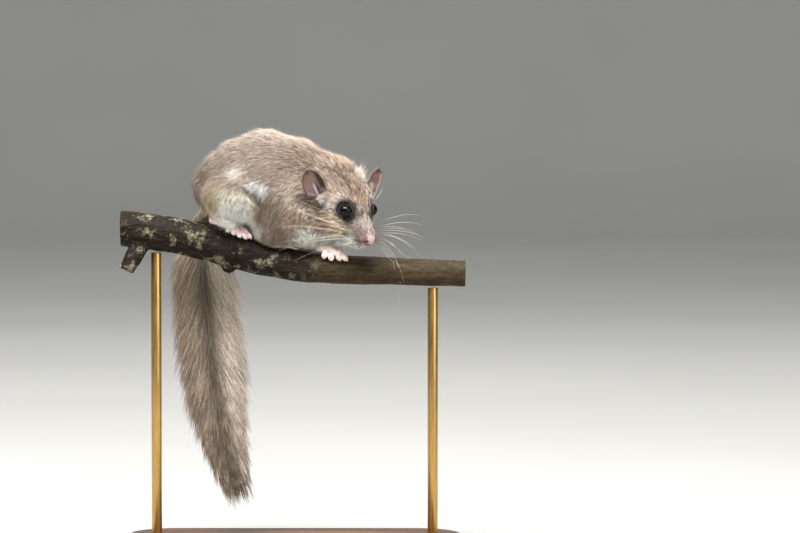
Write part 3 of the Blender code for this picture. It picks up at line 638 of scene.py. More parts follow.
def strand_tones(colours, member, mottle):
    """Each hair grey at its root, with a pale band and a tip that may be dark, as in an agouti coat.

    colours is (strands, stations, 3), or one colour for each strand's every station.
    """
    count, stations = colours.shape[:2]
    many = member.max() + 1
    light = colours[:, -1].mean(axis=1)
    dark_chance = 0.05 + 0.3 * (1 - smooth_step(0.25, 0.55, light))
    own = 1 + mottle * (draw.standard_normal(many)[member] + 0.9 * draw.standard_normal(count))
    dark = (draw.random(count) < dark_chance) | (draw.random(many)[member] < dark_chance * 0.4)
    levels = np.linspace(0, 1, stations)
    ladder = np.interp(levels, (0.0, 0.5, 1.0), (0.60, 0.98, 1.14))[None] * np.ones((count, 1))
    ladder[:, 0] += 0.3 * smooth_step(0.45, 0.85, light)
    ladder[dark] *= np.interp(levels, (0.0, 0.5, 1.0), (0.85, 0.62, 0.50))
    return np.clip(colours * ladder[:, :, None] * own[:, None, None], 0.004, 1)


def coat_along(centres):
    """The coat's colour at every station of every strand."""
    return coat_colour(centres.reshape(-1, 3)).reshape(centres.shape)


def hair_piece(name, material, spots, colour, mottle, *growth):
    """A finished piece of hair: colour gives the tones by the centres, and growth is what grow takes."""
    centres, sides, ups, widths, member = grow(*growth)
    tones = strand_tones(colour(centres), member, mottle)
    return dress(strand_mesh(name, centres, sides, ups, widths, tones, spots), material, "fur")


def scatter(obj, wanted):
    """Seeded roots on the object's faces. wanted gives the hairs for each square millimetre at a point.

    Returns their places in millimetres from the perch point, their normals and their unwrapped places.
    """
    mesh = obj.data
    mesh.calc_loop_triangles()
    corners = read(mesh.loop_triangles, "vertices", 3, np.int32)
    loops = read(mesh.loop_triangles, "loops", 3, np.int32)
    spots = read(mesh.uv_layers["OFBake"].uv, "vector", 2)[loops]
    points = to_perch(points_of(obj))
    normals = normals_of(obj)
    a, b, c = (points[corners[:, k]] for k in range(3))
    area = np.linalg.norm(np.cross(b - a, c - a), axis=1) / 2
    chance = area * wanted((a + b + c) / 3)
    whole = int(chance.sum())
    edges = np.cumsum(chance)
    picks = np.searchsorted(edges, (np.arange(whole) + draw.random(whole)) / whole * edges[-1])
    picks = np.minimum(picks, len(corners) - 1)
    one, two = draw.random(whole), draw.random(whole)
    over = one + two > 1
    one[over], two[over] = 1 - one[over], 1 - two[over]
    parts = np.stack((1 - one - two, one, two), axis=1)[:, :, None]
    return (
        (points[corners[picks]] * parts).sum(1),
        unit((normals[corners[picks]] * parts).sum(1)),
        (spots[picks] * parts).sum(1),
    )


# materials


def shaded_tone(tree, texture, found, wanted):
    """The coat's own tone, which a texture makes darker and lighter within the wanted limits."""
    tone = add(tree, "ShaderNodeAttribute", attribute_name="coat_tone")
    limits = dict(zip(("From Min", "From Max", "To Min", "To Max"), (*found, *wanted)))
    value = add(tree, "ShaderNodeMapRange", {"Value": texture.outputs["Fac"], **limits})
    return add(
        tree, "ShaderNodeHueSaturation", {"Color": tone.outputs["Color"], "Value": value.outputs["Result"]}
    )


def hair_material():
    """Dormouse fur: fine hairs whose cuticle gives a soft, satin shine. The tones come from the coat."""
    made, tree, shader = new_material(
        "dormouse_fur", roughness=0.62, ior=1.5, specular_ior_level=0.28, sheen_weight=0.12
    )
    coords = add(tree, "ShaderNodeTexCoord")
    # bands of 1.1 mm along the hairs, as wide as an agouti hair's pale band
    bands = add(
        tree, "ShaderNodeTexNoise", {"Vector": coords.outputs["Object"], "Scale": 1 / (1.1 * MM), "Detail": 2}
    )
    mixed = shaded_tone(tree, bands, (0.3, 0.7), (0.8, 1.18))
    tree.links.new(mixed.outputs["Color"], shader.inputs["Base Color"])
    return made


def haired_skin_material():
    """The skin and underfur seen between the hairs: dull, and darker than the coat over it."""
    made, tree, shader = new_material("haired_skin", roughness=0.8, specular_ior_level=0.2)
    coords = add(tree, "ShaderNodeTexCoord")
    # tufts of underfur 0.5 mm across
    fluff = add(
        tree, "ShaderNodeTexNoise", {"Vector": coords.outputs["Object"], "Scale": 1 / (0.5 * MM), "Detail": 4}
    )
    mixed = shaded_tone(tree, fluff, (0.3, 0.7), (0.7, 1.1))
    bump = add(
        tree, "ShaderNodeBump", {"Height": fluff.outputs["Fac"], "Strength": 0.5, "Distance": 0.2 * MM}
    )
    tree.links.new(mixed.outputs["Color"], shader.inputs["Base Color"])
    tree.links.new(bump.outputs["Normal"], shader.inputs["Normal"])
    return made


def bare_skin_material(name, pale, deep, roughness, crease, soft=0.12):
    """Bare, living skin: moist enough for a low shine, finely creased, with light scattering inside."""
    made, tree, shader = new_material(
        name,
        roughness=roughness,
        ior=1.42,
        specular_ior_level=0.45,
        subsurface_weight=soft,
        subsurface_scale=0.8 * MM,
    )
    shader.inputs["Subsurface Radius"].default_value = (1.0, 0.4, 0.25)
    coords = add(tree, "ShaderNodeTexCoord")
    flush = add(
        tree, "ShaderNodeTexNoise", {"Vector": coords.outputs["Object"], "Scale": 1 / (2.0 * MM), "Detail": 3}
    )
    colour = stops(add(tree, "ShaderNodeValToRGB", {"Fac": flush.outputs["Fac"]}), (0.32, deep), (0.66, pale))
    cells = add(
        tree,
        "ShaderNodeTexVoronoi",
        {"Vector": coords.outputs["Object"], "Scale": 1 / (crease * MM)},
        feature="DISTANCE_TO_EDGE",
    )
    bump = add(
        tree, "ShaderNodeBump", {"Height": cells.outputs["Distance"], "Strength": 0.35, "Distance": 0.08 * MM}
    )
    tree.links.new(colour.outputs["Color"], shader.inputs["Base Color"])
    tree.links.new(bump.outputs["Normal"], shader.inputs["Normal"])
    return made


def eye_material():
    """A night animal's eye: a wet, clear cornea over an iris so dark that it looks black."""
    made, tree, shader = new_material(
        "wet_black_eye",
        roughness=0.04,
        ior=1.38,
        specular_ior_level=0.27,
    )
    coords = add(tree, "ShaderNodeTexCoord")
    # iris fibres 0.3 mm apart, barely lighter than the pupil
    fibres = add(
        tree, "ShaderNodeTexNoise", {"Vector": coords.outputs["Object"], "Scale": 1 / (0.3 * MM), "Detail": 2}
    )
    colour = stops(
        add(tree, "ShaderNodeValToRGB", {"Fac": fibres.outputs["Fac"]}), (0.35, "#030303"), (0.8, "#0a0808")
    )
    tree.links.new(colour.outputs["Color"], shader.inputs["Base Color"])
    return made


def horn_material():
    """Claws: keratin, pale and a little shiny, with faint bands along it."""
    made, tree, shader = new_material("keratin", roughness=0.35, ior=1.54, specular_ior_level=0.5)
    coords = add(tree, "ShaderNodeTexCoord")
    bands = add(
        tree, "ShaderNodeTexNoise", {"Vector": coords.outputs["Object"], "Scale": 1 / (0.9 * MM), "Detail": 2}
    )
    colour = stops(
        add(tree, "ShaderNodeValToRGB", {"Fac": bands.outputs["Fac"]}), (0.3, "#c9b8a4"), (0.7, "#efe8dc")
    )
    tree.links.new(colour.outputs["Color"], shader.inputs["Base Color"])
    return made


def bark_material():
    """Hazel-like bark: grey-brown and smooth where young, darker, cracked and lichened where old; the old
    end's near-black is partly painted shadow.
    """
    made, tree, shader = new_material("old_bark", roughness=0.62, specular_ior_level=0.14)
    coords = add(tree, "ShaderNodeTexCoord")
    drawn_out = add(
        tree, "ShaderNodeMapping", {"Vector": coords.outputs["Object"], "Scale": (0.35, 1.0, 1.0)}
    )
    # cracks about 1.6 mm apart across the branch and three times as long along it
    cracks = add(
        tree,
        "ShaderNodeTexNoise",
        {"Vector": drawn_out.outputs["Vector"], "Scale": 1 / (1.6 * MM), "Detail": 7, "Roughness": 0.62},
    )
    # the old end's tones: darker old bark, deepened towards black by painted shadow
    tone = stops(
        add(tree, "ShaderNodeValToRGB", {"Fac": cracks.outputs["Fac"]}),
        (0.30, "#050301"),
        (0.50, "#130d06"),
        (0.72, "#302613"),
    )
    smooth_tone = stops(
        add(tree, "ShaderNodeValToRGB", {"Fac": cracks.outputs["Fac"]}),
        (0.25, "#1f170d"),
        (0.50, "#352a1a"),
        (0.80, "#4f432e"),
    )
    split = add(tree, "ShaderNodeSeparateXYZ", {"Vector": coords.outputs["Object"]})
    young = add(
        tree,
        "ShaderNodeMapRange",
        {"Value": split.outputs["X"], "From Min": -10 * MM, "From Max": 25 * MM},
        interpolation_type="SMOOTHSTEP",
    )
    wood = add(
        tree,
        "ShaderNodeMix",
        {"Factor": young.outputs["Result"]},
        data_type="RGBA",
    )
    tree.links.new(tone.outputs["Color"], wood.inputs["A"])
    tree.links.new(smooth_tone.outputs["Color"], wood.inputs["B"])
    # crusts of lichen 6 mm across, broken into grains, on the old part only
    crusts = add(
        tree,
        "ShaderNodeTexNoise",
        {"Vector": coords.outputs["Object"], "Scale": 1 / (6.0 * MM), "Detail": 6, "Roughness": 0.7},
    )
    crust = add(
        tree,
        "ShaderNodeMapRange",
        {"Value": crusts.outputs["Fac"], "From Min": 0.54, "From Max": 0.62},
    )
    old = add(tree, "ShaderNodeMath", {0: 1.0, 1: young.outputs["Result"]}, operation="SUBTRACT")
    share = add(
        tree, "ShaderNodeMath", {0: crust.outputs["Result"], 1: old.outputs["Value"]}, operation="MULTIPLY"
    )
    lichen = add(tree, "ShaderNodeMix", {"Factor": share.outputs["Value"]}, data_type="RGBA")
    tree.links.new(wood.outputs["Result"], lichen.inputs["A"])
    grains = add(
        tree, "ShaderNodeTexNoise", {"Vector": coords.outputs["Object"], "Scale": 1 / (0.7 * MM), "Detail": 3}
    )
    grain_tone = stops(
        add(tree, "ShaderNodeValToRGB", {"Fac": grains.outputs["Fac"]}), (0.35, "#39331f"), (0.65, "#837c66")
    )
    tree.links.new(grain_tone.outputs["Color"], lichen.inputs["B"])
    bump = add(
        tree, "ShaderNodeBump", {"Height": cracks.outputs["Fac"], "Strength": 0.8, "Distance": 0.5 * MM}
    )
    tree.links.new(lichen.outputs["Result"], shader.inputs["Base Color"])
    tree.links.new(bump.outputs["Normal"], shader.inputs["Normal"])
    return made


def cut_wood_material():
    """A sawn end: pale sapwood with yearly rings and saw marks."""
    made, tree, shader = new_material("sawn_wood", roughness=0.7, specular_ior_level=0.3)
    pith = add(tree, "ShaderNodeAttribute", attribute_name="from_pith")
    away = add(tree, "ShaderNodeCombineXYZ", {"X": pith.outputs["Fac"]})
    # a ring for each year, 1.1 mm apart; the wave repeats every 0.314 of its scale's unit
    rings = add(
        tree,
        "ShaderNodeTexWave",
        {"Vector": away.outputs["Vector"], "Scale": 0.314 / (1.1 * MM), "Distortion": 0.4, "Detail": 2},
        bands_direction="X",
    )
    colour = stops(
        add(tree, "ShaderNodeValToRGB", {"Fac": rings.outputs["Fac"]}), (0.1, "#a98b62"), (0.9, "#d3bb91")
    )
    bump = add(
        tree, "ShaderNodeBump", {"Height": rings.outputs["Fac"], "Strength": 0.3, "Distance": 0.1 * MM}
    )
    tree.links.new(colour.outputs["Color"], shader.inputs["Base Color"])
    tree.links.new(bump.outputs["Normal"], shader.inputs["Normal"])
    return made


def walnut_material():
    """Oiled walnut: brown heartwood whose grain runs along the base, under a thin satin finish."""
    made, tree, shader = new_material(
        "oiled_walnut", roughness=0.38, specular_ior_level=0.45, coat_weight=0.25, coat_roughness=0.25
    )
    coords = add(tree, "ShaderNodeTexCoord")
    drawn_out = add(
        tree, "ShaderNodeMapping", {"Vector": coords.outputs["Object"], "Scale": (0.09, 1.0, 1.0)}
    )
    figure = add(
        tree,
        "ShaderNodeTexNoise",
        {"Vector": drawn_out.outputs["Vector"], "Scale": 1 / (7.0 * MM), "Detail": 5, "Distortion": 0.6},
    )
    colour = stops(
        add(tree, "ShaderNodeValToRGB", {"Fac": figure.outputs["Fac"]}),
        (0.32, "#2b190f"),
        (0.52, "#54351f"),
        (0.70, "#7a5334"),
    )
    pores = add(
        tree,
        "ShaderNodeTexNoise",
        {"Vector": drawn_out.outputs["Vector"], "Scale": 1 / (0.5 * MM), "Detail": 2},
    )
    bump = add(
        tree, "ShaderNodeBump", {"Height": pores.outputs["Fac"], "Strength": 0.25, "Distance": 0.06 * MM}
    )
    tree.links.new(colour.outputs["Color"], shader.inputs["Base Color"])
    tree.links.new(bump.outputs["Normal"], shader.inputs["Normal"])
    return made


def brass_material():
    """Drawn brass rod: fine lines along it, and a warm, slightly dulled shine."""
    made, tree, shader = new_material("drawn_brass", metallic=1.0)
    coords = add(tree, "ShaderNodeTexCoord")
    lines = add(
        tree,
        "ShaderNodeMapping",
        {"Vector": coords.outputs["Object"], "Scale": (1.0, 1.0, 0.03)},
    )
    drawn = add(
        tree, "ShaderNodeTexNoise", {"Vector": lines.outputs["Vector"], "Scale": 1 / (0.3 * MM), "Detail": 2}
    )
    colour = stops(
        add(tree, "ShaderNodeValToRGB", {"Fac": drawn.outputs["Fac"]}), (0.3, "#a8834a"), (0.7, "#c9a565")
    )
    dull = add(
        tree,
        "ShaderNodeMapRange",
        {"Value": drawn.outputs["Fac"], "To Min": 0.22, "To Max": 0.42},
    )
    tree.links.new(colour.outputs["Color"], shader.inputs["Base Color"])
    tree.links.new(dull.outputs["Result"], shader.inputs["Roughness"])
    return made


# the animal

FLESH = (
    "torso",
    "neck",
    "head",
    "thigh_right",
    "thigh_left",
    "upper_arm_right",
    "upper_arm_left",
    "forearm_right",
    "forearm_left",
)
SEAM_FILL = 0.22  # millimetres that each solid swells, to close the gaps of 0.3 mm between them
SKIN_VOXEL = 0.55
# Each eye's middle in the head's frame, the ball's radius, and the way that the left eye looks.
EYE_SPOTS = {-1: (0.45, -6.8, 0.5), 1: (0.3, 6.5, 0.6)}
EYE_RADIUS = 3.2
EYE_AXIS = (0.46, 0.87, 0.16)
CORNEA_RISE = 0.2
LID_RING = 3.02  # the lids' radius round the eye
LID_RADIUS = 0.18  # and that of their own rim
LID_OUT = 1.02  # how far they lie in front of the eye's middle
# The line of the mouth, from the middle of the lip back to its left corner.
MOUTH = ((13.2, 0.0, -10.3), (11.3, 2.6, -10.9), (8.4, 4.4, -11.2), (5.0, 5.7, -10.6))


def unwrap(obj):
    """Lays the piece's own surface flat, for the coat's colours and its own."""
    while obj.data.uv_layers:
        obj.data.uv_layers.remove(obj.data.uv_layers[0])
    obj.data.uv_layers.new(name="OFBake")
    return in_edit(obj, lambda: bpy.ops.uv.smart_project(angle_limit=1.15, island_margin=0.002))


def eye_distance(in_head):
    """How far points in the head's frame are from the nearer eye's middle."""
    return np.min([np.linalg.norm(in_head - spot, axis=1) for spot in EYE_SPOTS.values()], axis=0)


def make_skin():
    """One skin over every fleshy form, drawn in under the solids by the depth of the coat."""
    swollen = [
        finish_with(cad_copy(node), "DISPLACE", strength=SEAM_FILL * MM, mid_level=0.0) for node in FLESH
    ]
    skin = join("skin", swollen)
    finish_with(skin, "REMESH", mode="VOXEL", voxel_size=SKIN_VOXEL * MM)
    finish_with(skin, "SMOOTH", factor=0.5, iterations=12)
    fine = to_perch(points_of(skin))
    finish_with(skin, "SMOOTH", factor=0.5, iterations=60)
    smooth = to_perch(points_of(skin))
    # the body's forms run into each other, while the face keeps its own
    body = smooth_step(14.0, 24.0, np.linalg.norm(to_head(fine), axis=1))[:, None]
    points = fine + body * (smooth - fine)
    move_points(skin, from_perch(points))
    _, length, stand = lie_at(points)
    depth = coat_depth(length, stand)
    in_body = right_half(points)
    for a, b, width, _, _, deep in FOLDS:
        depth += deep * np.exp(-((fold_distance(in_body, a, b) / (width * 1.6)) ** 2))
    for where, sizes, deeper in SKIN_TRIM:
        depth += deeper * np.exp(-(((in_body - where) / sizes) ** 2).sum(1))
    move_points(skin, from_perch(points - normals_of(skin) * depth[:, None]))
    finish_with(skin, "SMOOTH", factor=0.5, iterations=4)
    return skin


def mouth_distance(in_head):
    """How far points in the head's frame are from the line of the mouth, in millimetres."""
    here = left_half(in_head)
    return np.min([segment_distance(here, a, b) for a, b in zip(MOUTH, MOUTH[1:])], axis=0)


def carve_face(skin):
    """Cuts the line of the mouth, swells the lips beside it and raises the rims of the eye sockets."""
    points = to_perch(points_of(skin))
    in_head = to_head(points)
    away = mouth_distance(in_head)
    inward = 0.55 * np.exp(-((away / 0.42) ** 2)) - 0.14 * np.exp(-(((away - 1.1) / 0.55) ** 2))
    # the brow and the cheek rise to the lids
    inward -= 0.6 * np.exp(-(((eye_distance(in_head) - 4.1) / 0.9) ** 2))
    # the haired skin swells beside the nose, so that the nose sits in it
    from_nose = np.linalg.norm((in_head - NOSE_SPOT) / NOSE_SIZES, axis=1)
    beside = smooth_step(0.6, 1.8, np.abs(in_head[:, 1])) * smooth_step(-10.6, -8.6, in_head[:, 2])
    inward -= 0.75 * beside * np.exp(-(((from_nose - 1.05) / 0.35) ** 2))
    points -= normals_of(skin) * inward[:, None]
    return move_points(skin, from_perch(points))


def colour_skin(skin):
    points = to_perch(points_of(skin))
    _, length, _ = lie_at(points)
    tone = coat_colour(points)
    in_head = to_head(points)
    # bare pink shows through where the hair is shortest
    pink = linear("#bb9089")
    bare = (1 - smooth_step(0.8, 1.6, length)) * 0.8
    tone = tone * 0.7 * (1 - bare)[:, None] + pink * bare[:, None]
    lips = np.exp(-((mouth_distance(in_head) / 0.6) ** 2))
    tone = tone * (1 - 0.7 * lips)[:, None] + linear("#4a2f2b") * (0.7 * lips)[:, None]
    store_tone(skin.data, tone)


SHORT = 2.2  # millimetres: a hair below this is a straight spike, which needs few faces
LONG_HAIRS = 10.5  # for each square millimetre
MORE_IF_SHORT = 7.3  # and how many more where they are shortest
NOSE_SPOT = (11.2, 0.0, -7.7)
NOSE_SIZES = (2.4, 2.95, 2.9)


def bare_places(points):
    """Where no hair grows: the eyes, the lips' line and the nose pad."""
    in_head = to_head(points)
    eye = eye_distance(in_head) < EYE_RADIUS + 0.4
    nose = np.linalg.norm((in_head - NOSE_SPOT) / NOSE_SIZES, axis=1) < 0.82
    return eye | nose | (mouth_distance(in_head) < 0.3)


def hairs_wanted(points):
    """Hairs for each square millimetre: dense and fine where they are short."""
    _, length, _ = lie_at(points)
    density = LONG_HAIRS + MORE_IF_SHORT * (1 - smooth_step(1.0, 4.0, length))
    density = np.where(bare_places(points), 0, density)
    return density * 1.0


GUARD_SHARE = 0.04  # of the hairs are guard hairs: longer, thinner and more upright than the others
GUARD_LONGER = 1.3
GUARD_STEEPER = 1.25
GUARD_WIDTH = 0.047
TUFT_WIDTH = 0.058
COARSER_IF_LONG = 0.015
COAT_PULL = 0.32  # how far the hairs of a clump lean together at their tips
COAT_WAY = (0.86, -0.42, -0.2)  # from the rump to the nose
COAT_BANDS = ("rump", "hips", "loin", "back", "flanks", "shoulders", "nape", "cheeks")


def coat_pieces(names, place_order, parts, material):
    """Cuts the hairs into pieces in the order of place_order, each under its own name."""
    centres, sides, ups, widths, tones, spots = parts
    for name, share in zip(names, np.array_split(np.argsort(place_order), len(names))):
        piece = strand_mesh(
            name, centres[share], sides[share], ups[share], widths[share], tones[share], spots[share]
        )
        dress(piece, material, "fur")


def make_coat(skin, material):
    """The fur of the body and the head, as bands from the rump to the nose."""
    roots, normals, spots = scatter(skin, hairs_wanted)
    ways, lengths, stands = lie_at(roots)
    in_head = left_half(to_head(roots))
    for spot, sizes, longer, more in FLUFF:
        fluff = np.exp(-(((in_head - spot) / sizes) ** 2).sum(1))
        lengths = lengths * (1 + longer * fluff)
        stands = stands + math.radians(more) * fluff
    short = lengths < SHORT
    for group, stations, clump, names in (
        (~short, 3, 4, ["coat_" + band for band in COAT_BANDS]),
        (short, 2, 5, ["coat_face"]),
    ):
        count = int(group.sum())
        guard = draw.random(count) < GUARD_SHARE
        long = lengths[group] * np.where(guard, GUARD_LONGER, 1.0) * draw.uniform(0.85, 1.1, count)
        lifts = stands[group] * np.where(guard, GUARD_STEEPER, 1.0) * draw.uniform(0.85, 1.15, count)
        width = np.where(guard, GUARD_WIDTH, TUFT_WIDTH) + COARSER_IF_LONG * smooth_step(2.0, 6.0, long)
        centres, sides, ups, widths, member = grow(
            roots[group], normals[group], ways[group], long, lifts, width, stations, clump, COAT_PULL
        )
        tones = strand_tones(coat_along(centres), member, mottle_at(roots[group]))
        along = roots[group] @ np.array(COAT_WAY)
        coat_pieces(names, along, (centres, sides, ups, widths, tones, spots[group]), material)


# The tail's middle line from its root to its tip, and the half widths of the solid's core along it,
# across and through.
TAIL_PATH = (
    (-23.0, 10.5, 22.0),
    (-28.5, 15.0, 11.0),
    (-29.8, 17.6, 1.0),
    (-29.4, 18.0, -10.0),
    (-28.0, 17.4, -28.0),
    (-25.6, 16.4, -52.0),
    (-22.0, 15.4, -76.0),
    (-17.0, 14.6, -97.0),
)
TAIL_CORE = (
    (4.6, 4.4),
    (5.6, 4.0),
    (6.4, 3.7),
    (6.8, 3.5),
    (7.0, 3.4),
    (6.8, 3.2),
    (6.0, 2.8),
    (3.6, 1.8),
)
CORE_SHARE = 0.72  # of the solid's core: the flesh inside the thick hair


def spline_point(points, t):
    """A point of the smooth curve through the points, with t from 0 to 1."""
    last = len(points) - 1
    step = min(int(t * last), last - 1)
    part = t * last - step
    before, after = points[max(step - 1, 0)], points[min(step + 2, last)]
    found = []
    for a, b, c, d in zip(before, points[step], points[step + 1], after):
        curve = (2 * a - 5 * b + 4 * c - d) * part**2 + (3 * b - a - 3 * c + d) * part**3
        found.append(0.5 * (2 * b + (c - a) * part + curve))
    return np.array(found)


def at_tail(t):
    """The tail's middle line, its direction, and the ways across and through it."""
    ahead = spline_point(TAIL_PATH, min(t + 0.01, 1.0)) - spline_point(TAIL_PATH, max(t - 0.01, 0.0))
    ahead /= np.linalg.norm(ahead)
    side = np.array((1.0, 0.0, 0.0)) - ahead * ahead[0]
    side /= np.linalg.norm(side)
    return spline_point(TAIL_PATH, t), ahead, side, np.cross(ahead, side)


def make_tail_core():
    """The fleshy tail inside its hair, a flattened taper."""

    def shape(u, v):
        here, _, side, through = at_tail(v)
        wide, deep = spline_point(TAIL_CORE, v) * CORE_SHARE
        close = math.sqrt(max(0.0, 1 - max(0.0, (v - 0.97) / 0.03) ** 2))
        turn = 2 * math.pi * u
        return place(*(here + side * wide * close * math.cos(turn) + through * deep * close * math.sin(turn)))

    core = wound_grid("tail_core", 28, 90, shape)
    in_edit(core, merge_close, lambda: bpy.ops.mesh.fill_holes(sides=0), face_outwards)
    return smooth_faces(finish_with(core, "SUBSURF", levels=1, render_levels=1))


def tail_colour(points, across, facing):
    """Grey-brown with a dark line down the middle, a rufous edge on one side and pale outer tips."""
    found = np.tile(linear("#b9a590"), (len(points), 1))
    paint(found, smooth_step(0.1, 0.6, across) * 0.85, "#e8dccd")
    paint(found, np.exp(-((across / 0.26) ** 2)) * 0.8, "#6a5c49")
    paint(found, smooth_step(0.86, 1.05, across) * 0.6, "#b0704c")
    paint(found, smooth_step(0.2, 0.8, facing) * 0.35, "#cabda9")
    patches = 1 + 0.1 * wander(points, 5.0, 1.0)
    return np.clip(found * patches[:, None], 0, 1)


TAIL_STEPS = 200
TAIL_SPREAD = 50.0  # degrees from the tail's own direction, at its two edges
TAIL_RISE = 16.0  # degrees that the hairs stand off its flat faces
TAIL_HAIRS = 7.3  # for each square millimetre of the core
TAIL_HAIR_WIDTH = 0.079  # millimetres
TAIL_CLUMP = 8
TAIL_PULL = 0.5


def make_tail_hair(core, material):
    """Long hairs that part to both sides of the tail and bend along it, so that it is flat like a feather."""
    per_mm2 = TAIL_HAIRS * 1.0
    roots, normals, spots = scatter(core, lambda p: np.full(len(p), per_mm2))
    count = len(roots)
    table = [at_tail(k / TAIL_STEPS) for k in range(TAIL_STEPS + 1)]
    middles, aheads, across_ways, through_ways = (np.array(column) for column in zip(*table))
    nearest = search_tree(middles)
    where = np.array([nearest.find(p)[1] for p in roots.tolist()])
    t = where / TAIL_STEPS
    ahead, side, through = aheads[where], across_ways[where], through_ways[where]
    wide = np.array([spline_point(TAIL_CORE, k / TAIL_STEPS)[0] for k in range(TAIL_STEPS + 1)])[where]
    wide *= CORE_SHARE
    across = np.clip(((roots - middles[where]) * side).sum(1) / wide, -1, 1)
    facing = np.sign(((roots - middles[where]) * through).sum(1))
    member, leaders = clumps(roots, TAIL_CLUMP)
    many = member.max() + 1
    closing = smooth_step(0.62, 1.0, t)
    opening = 0.2 + 0.8 * smooth_step(0.03, 0.22, t)
    fan = across * 1.2 + 0.25 * draw.standard_normal(count)
    fan = np.clip(fan + 0.12 * draw.standard_normal(many)[member], -1, 1)
    spread = np.radians(TAIL_SPREAD) * fan * opening * (1 - 0.7 * closing)
    rise = np.radians(TAIL_RISE) * (1 - 0.75 * across**2) * facing * opening * draw.uniform(-0.35, 1.0, count)
    rise *= 1 - 0.8 * closing
    lengths = 6.0 + 13.0 * smooth_step(0.05, 0.36, t)
    lengths *= (1 - 0.1 * closing) * draw.uniform(0.7, 1.12, count)
    lengths *= 1 + 0.07 * draw.standard_normal(many)[member]
    centres = np.empty((count, 4, 3))
    centres[:, 0] = roots - normals * 0.25
    here = roots
    for k in range(3):
        turned = spread * (1 - 0.28 * k)
        raised = rise * (1 - 0.45 * k)
        way = ahead * np.cos(turned)[:, None] + side * np.sin(turned)[:, None]
        way = unit(way + through * np.sin(raised)[:, None])
        here = here + way * (lengths / 3)[:, None]
        centres[:, k + 1] = here
    gather(centres, leaders, TAIL_PULL)
    out = unit(through * facing[:, None] + side * (across * 0.4)[:, None])
    sides = unit(np.cross(unit(centres[:, 3] - centres[:, 0]), out))
    width = TAIL_HAIR_WIDTH * 1.0
    widths = width * np.ones(count)[:, None] * np.array((1.0, 0.95, 0.7))
    seen = np.clip(((centres[:, 2] - middles[where]) * side).sum(1) / (wide + 10.0 * opening), -1.1, 1.1)
    tones = strand_tones(np.repeat(tail_colour(roots, seen, -facing)[:, None], 4, axis=1), member, 0.12)
    names = ["tail_hair_" + part for part in ("root", "upper", "lower", "tip")]
    coat_pieces(names, t, (centres, sides, out, widths, tones, spots), material)


def make_eyes(material, lid_material):
    """Bulging eyes with a raised cornea, and the dark rims of their lids."""
    for hand, name in SIDES:
        eye = primitive(
            "eyeball_" + name,
            bpy.ops.mesh.primitive_uv_sphere_add,
            segments=48,
            ring_count=32,
            radius=EYE_RADIUS * MM,
        )
        points = points_of(eye)
        # the cornea rises over the ball, round the pole that becomes the eye's front
        tall = smooth_step(0.45, 1.0, points[:, 2] / (EYE_RADIUS * MM))
        points[:, 2] += CORNEA_RISE * MM * tall
        move_points(eye, points)
        axis = head_way(*(np.array(EYE_AXIS) * (1, hand, 1)))
        turn = axis.to_track_quat("Z", "Y").to_matrix().to_4x4()
        centre = head_place(*EYE_SPOTS[hand])
        eye.data.transform(Matrix.Translation(centre) @ turn)
        dress(smooth_faces(eye), material, "eye", "eye_" + name)

        lids = primitive(
            "lids_" + name,
            bpy.ops.mesh.primitive_torus_add,
            major_segments=48,
            minor_segments=12,
            major_radius=LID_RING * MM,
            minor_radius=LID_RADIUS * MM,
        )
        points = points_of(lids)
        # drawn out a little at the two corners, and flattened against the ball
        round_way = np.arctan2(points[:, 1], points[:, 0])
        points[:, :2] *= (1 + 0.05 * np.cos(2 * round_way))[:, None]
        points[:, 2] *= 0.8
        move_points(lids, points)
        lids.data.transform(Matrix.Translation(centre + axis * LID_OUT * MM) @ turn)
        dress(smooth_faces(lids), lid_material, "bare_skin")


# The left ear's root and tip in the head's frame, the way that its cup opens, its half width and how
# deep its cup is.
EAR_ROOT = (-9.9, 12.6, 0.2)
EAR_TIP = (-15.0, 20.9, 12.1)
EAR_OPEN = (0.93, 0.25, 0.1)
EAR_HALF_WIDTH = 4.7
EAR_CUP = 2.4
EAR_NOTCH = {-1: (0.14, 0.42), 1: (0.22, 0.55)}  # where each ear's outer edge runs out of its root
# Ridges inside the ear: (from, to, height), with w towards its outer edge and v towards its tip.
EAR_FOLDS = (
    ((0.02, 0.16), (-0.12, 0.62), 1.0),
    ((-0.42, 0.12), (-0.50, 0.52), 0.9),
    ((0.34, 0.22), (0.20, 0.52), 0.5),
)


def ear_frame(hand):
    root, tip = (np.array(p) * (1, hand, 1) for p in (EAR_ROOT, EAR_TIP))
    along = tip - root
    up = along / np.linalg.norm(along)
    facing = np.array(EAR_OPEN) * (1, hand, 1)
    facing = facing - up * (facing @ up)
    facing /= np.linalg.norm(facing)
    return root, along, np.cross(up, facing), facing


def ear_point(hand, w, v, lift=0.0):
    """A point of the ear's cup in the head's frame: w from -1 to 1 across, v from 0 at the root to 1."""
    root, along, across, facing = ear_frame(hand)
    if v < 0.5:
        wide = EAR_HALF_WIDTH * (0.74 + 0.26 * math.sin(math.pi * max(v, 0.0)))
        if w * hand > 0:
            # the outer edge runs in to the root
            wide *= 0.12 + 0.88 * float(smooth_step(*EAR_NOTCH[hand], v))
    else:
        wide = EAR_HALF_WIDTH * math.sqrt(max(0.0, 1 - (2 * v - 1) ** 2))
    deep = EAR_CUP * (1 - 0.75 * v * v)
    rim = max(0.0, abs(w) - 0.86) / 0.14
    roll = 0.35 * rim * rim
    fold = 0.0
    for (w0, v0), (w1, v1), high in EAR_FOLDS:
        # the folds lie in the lower half of the cup, more to its front edge
        way = np.array((w1 - w0, v1 - v0))
        spot = np.array((w * hand - w0, v - v0))
        part = min(1.0, max(0.0, float(spot @ way / (way @ way))))
        away = np.linalg.norm(spot - part * way)
        fold += high * math.exp(-((away / 0.095) ** 2)) * (1 - part * 0.6)
    here = root + along * v + across * wide * w * (1 - 0.03 * rim)
    return here + facing * (roll + fold + lift - deep * (1 - w * w))


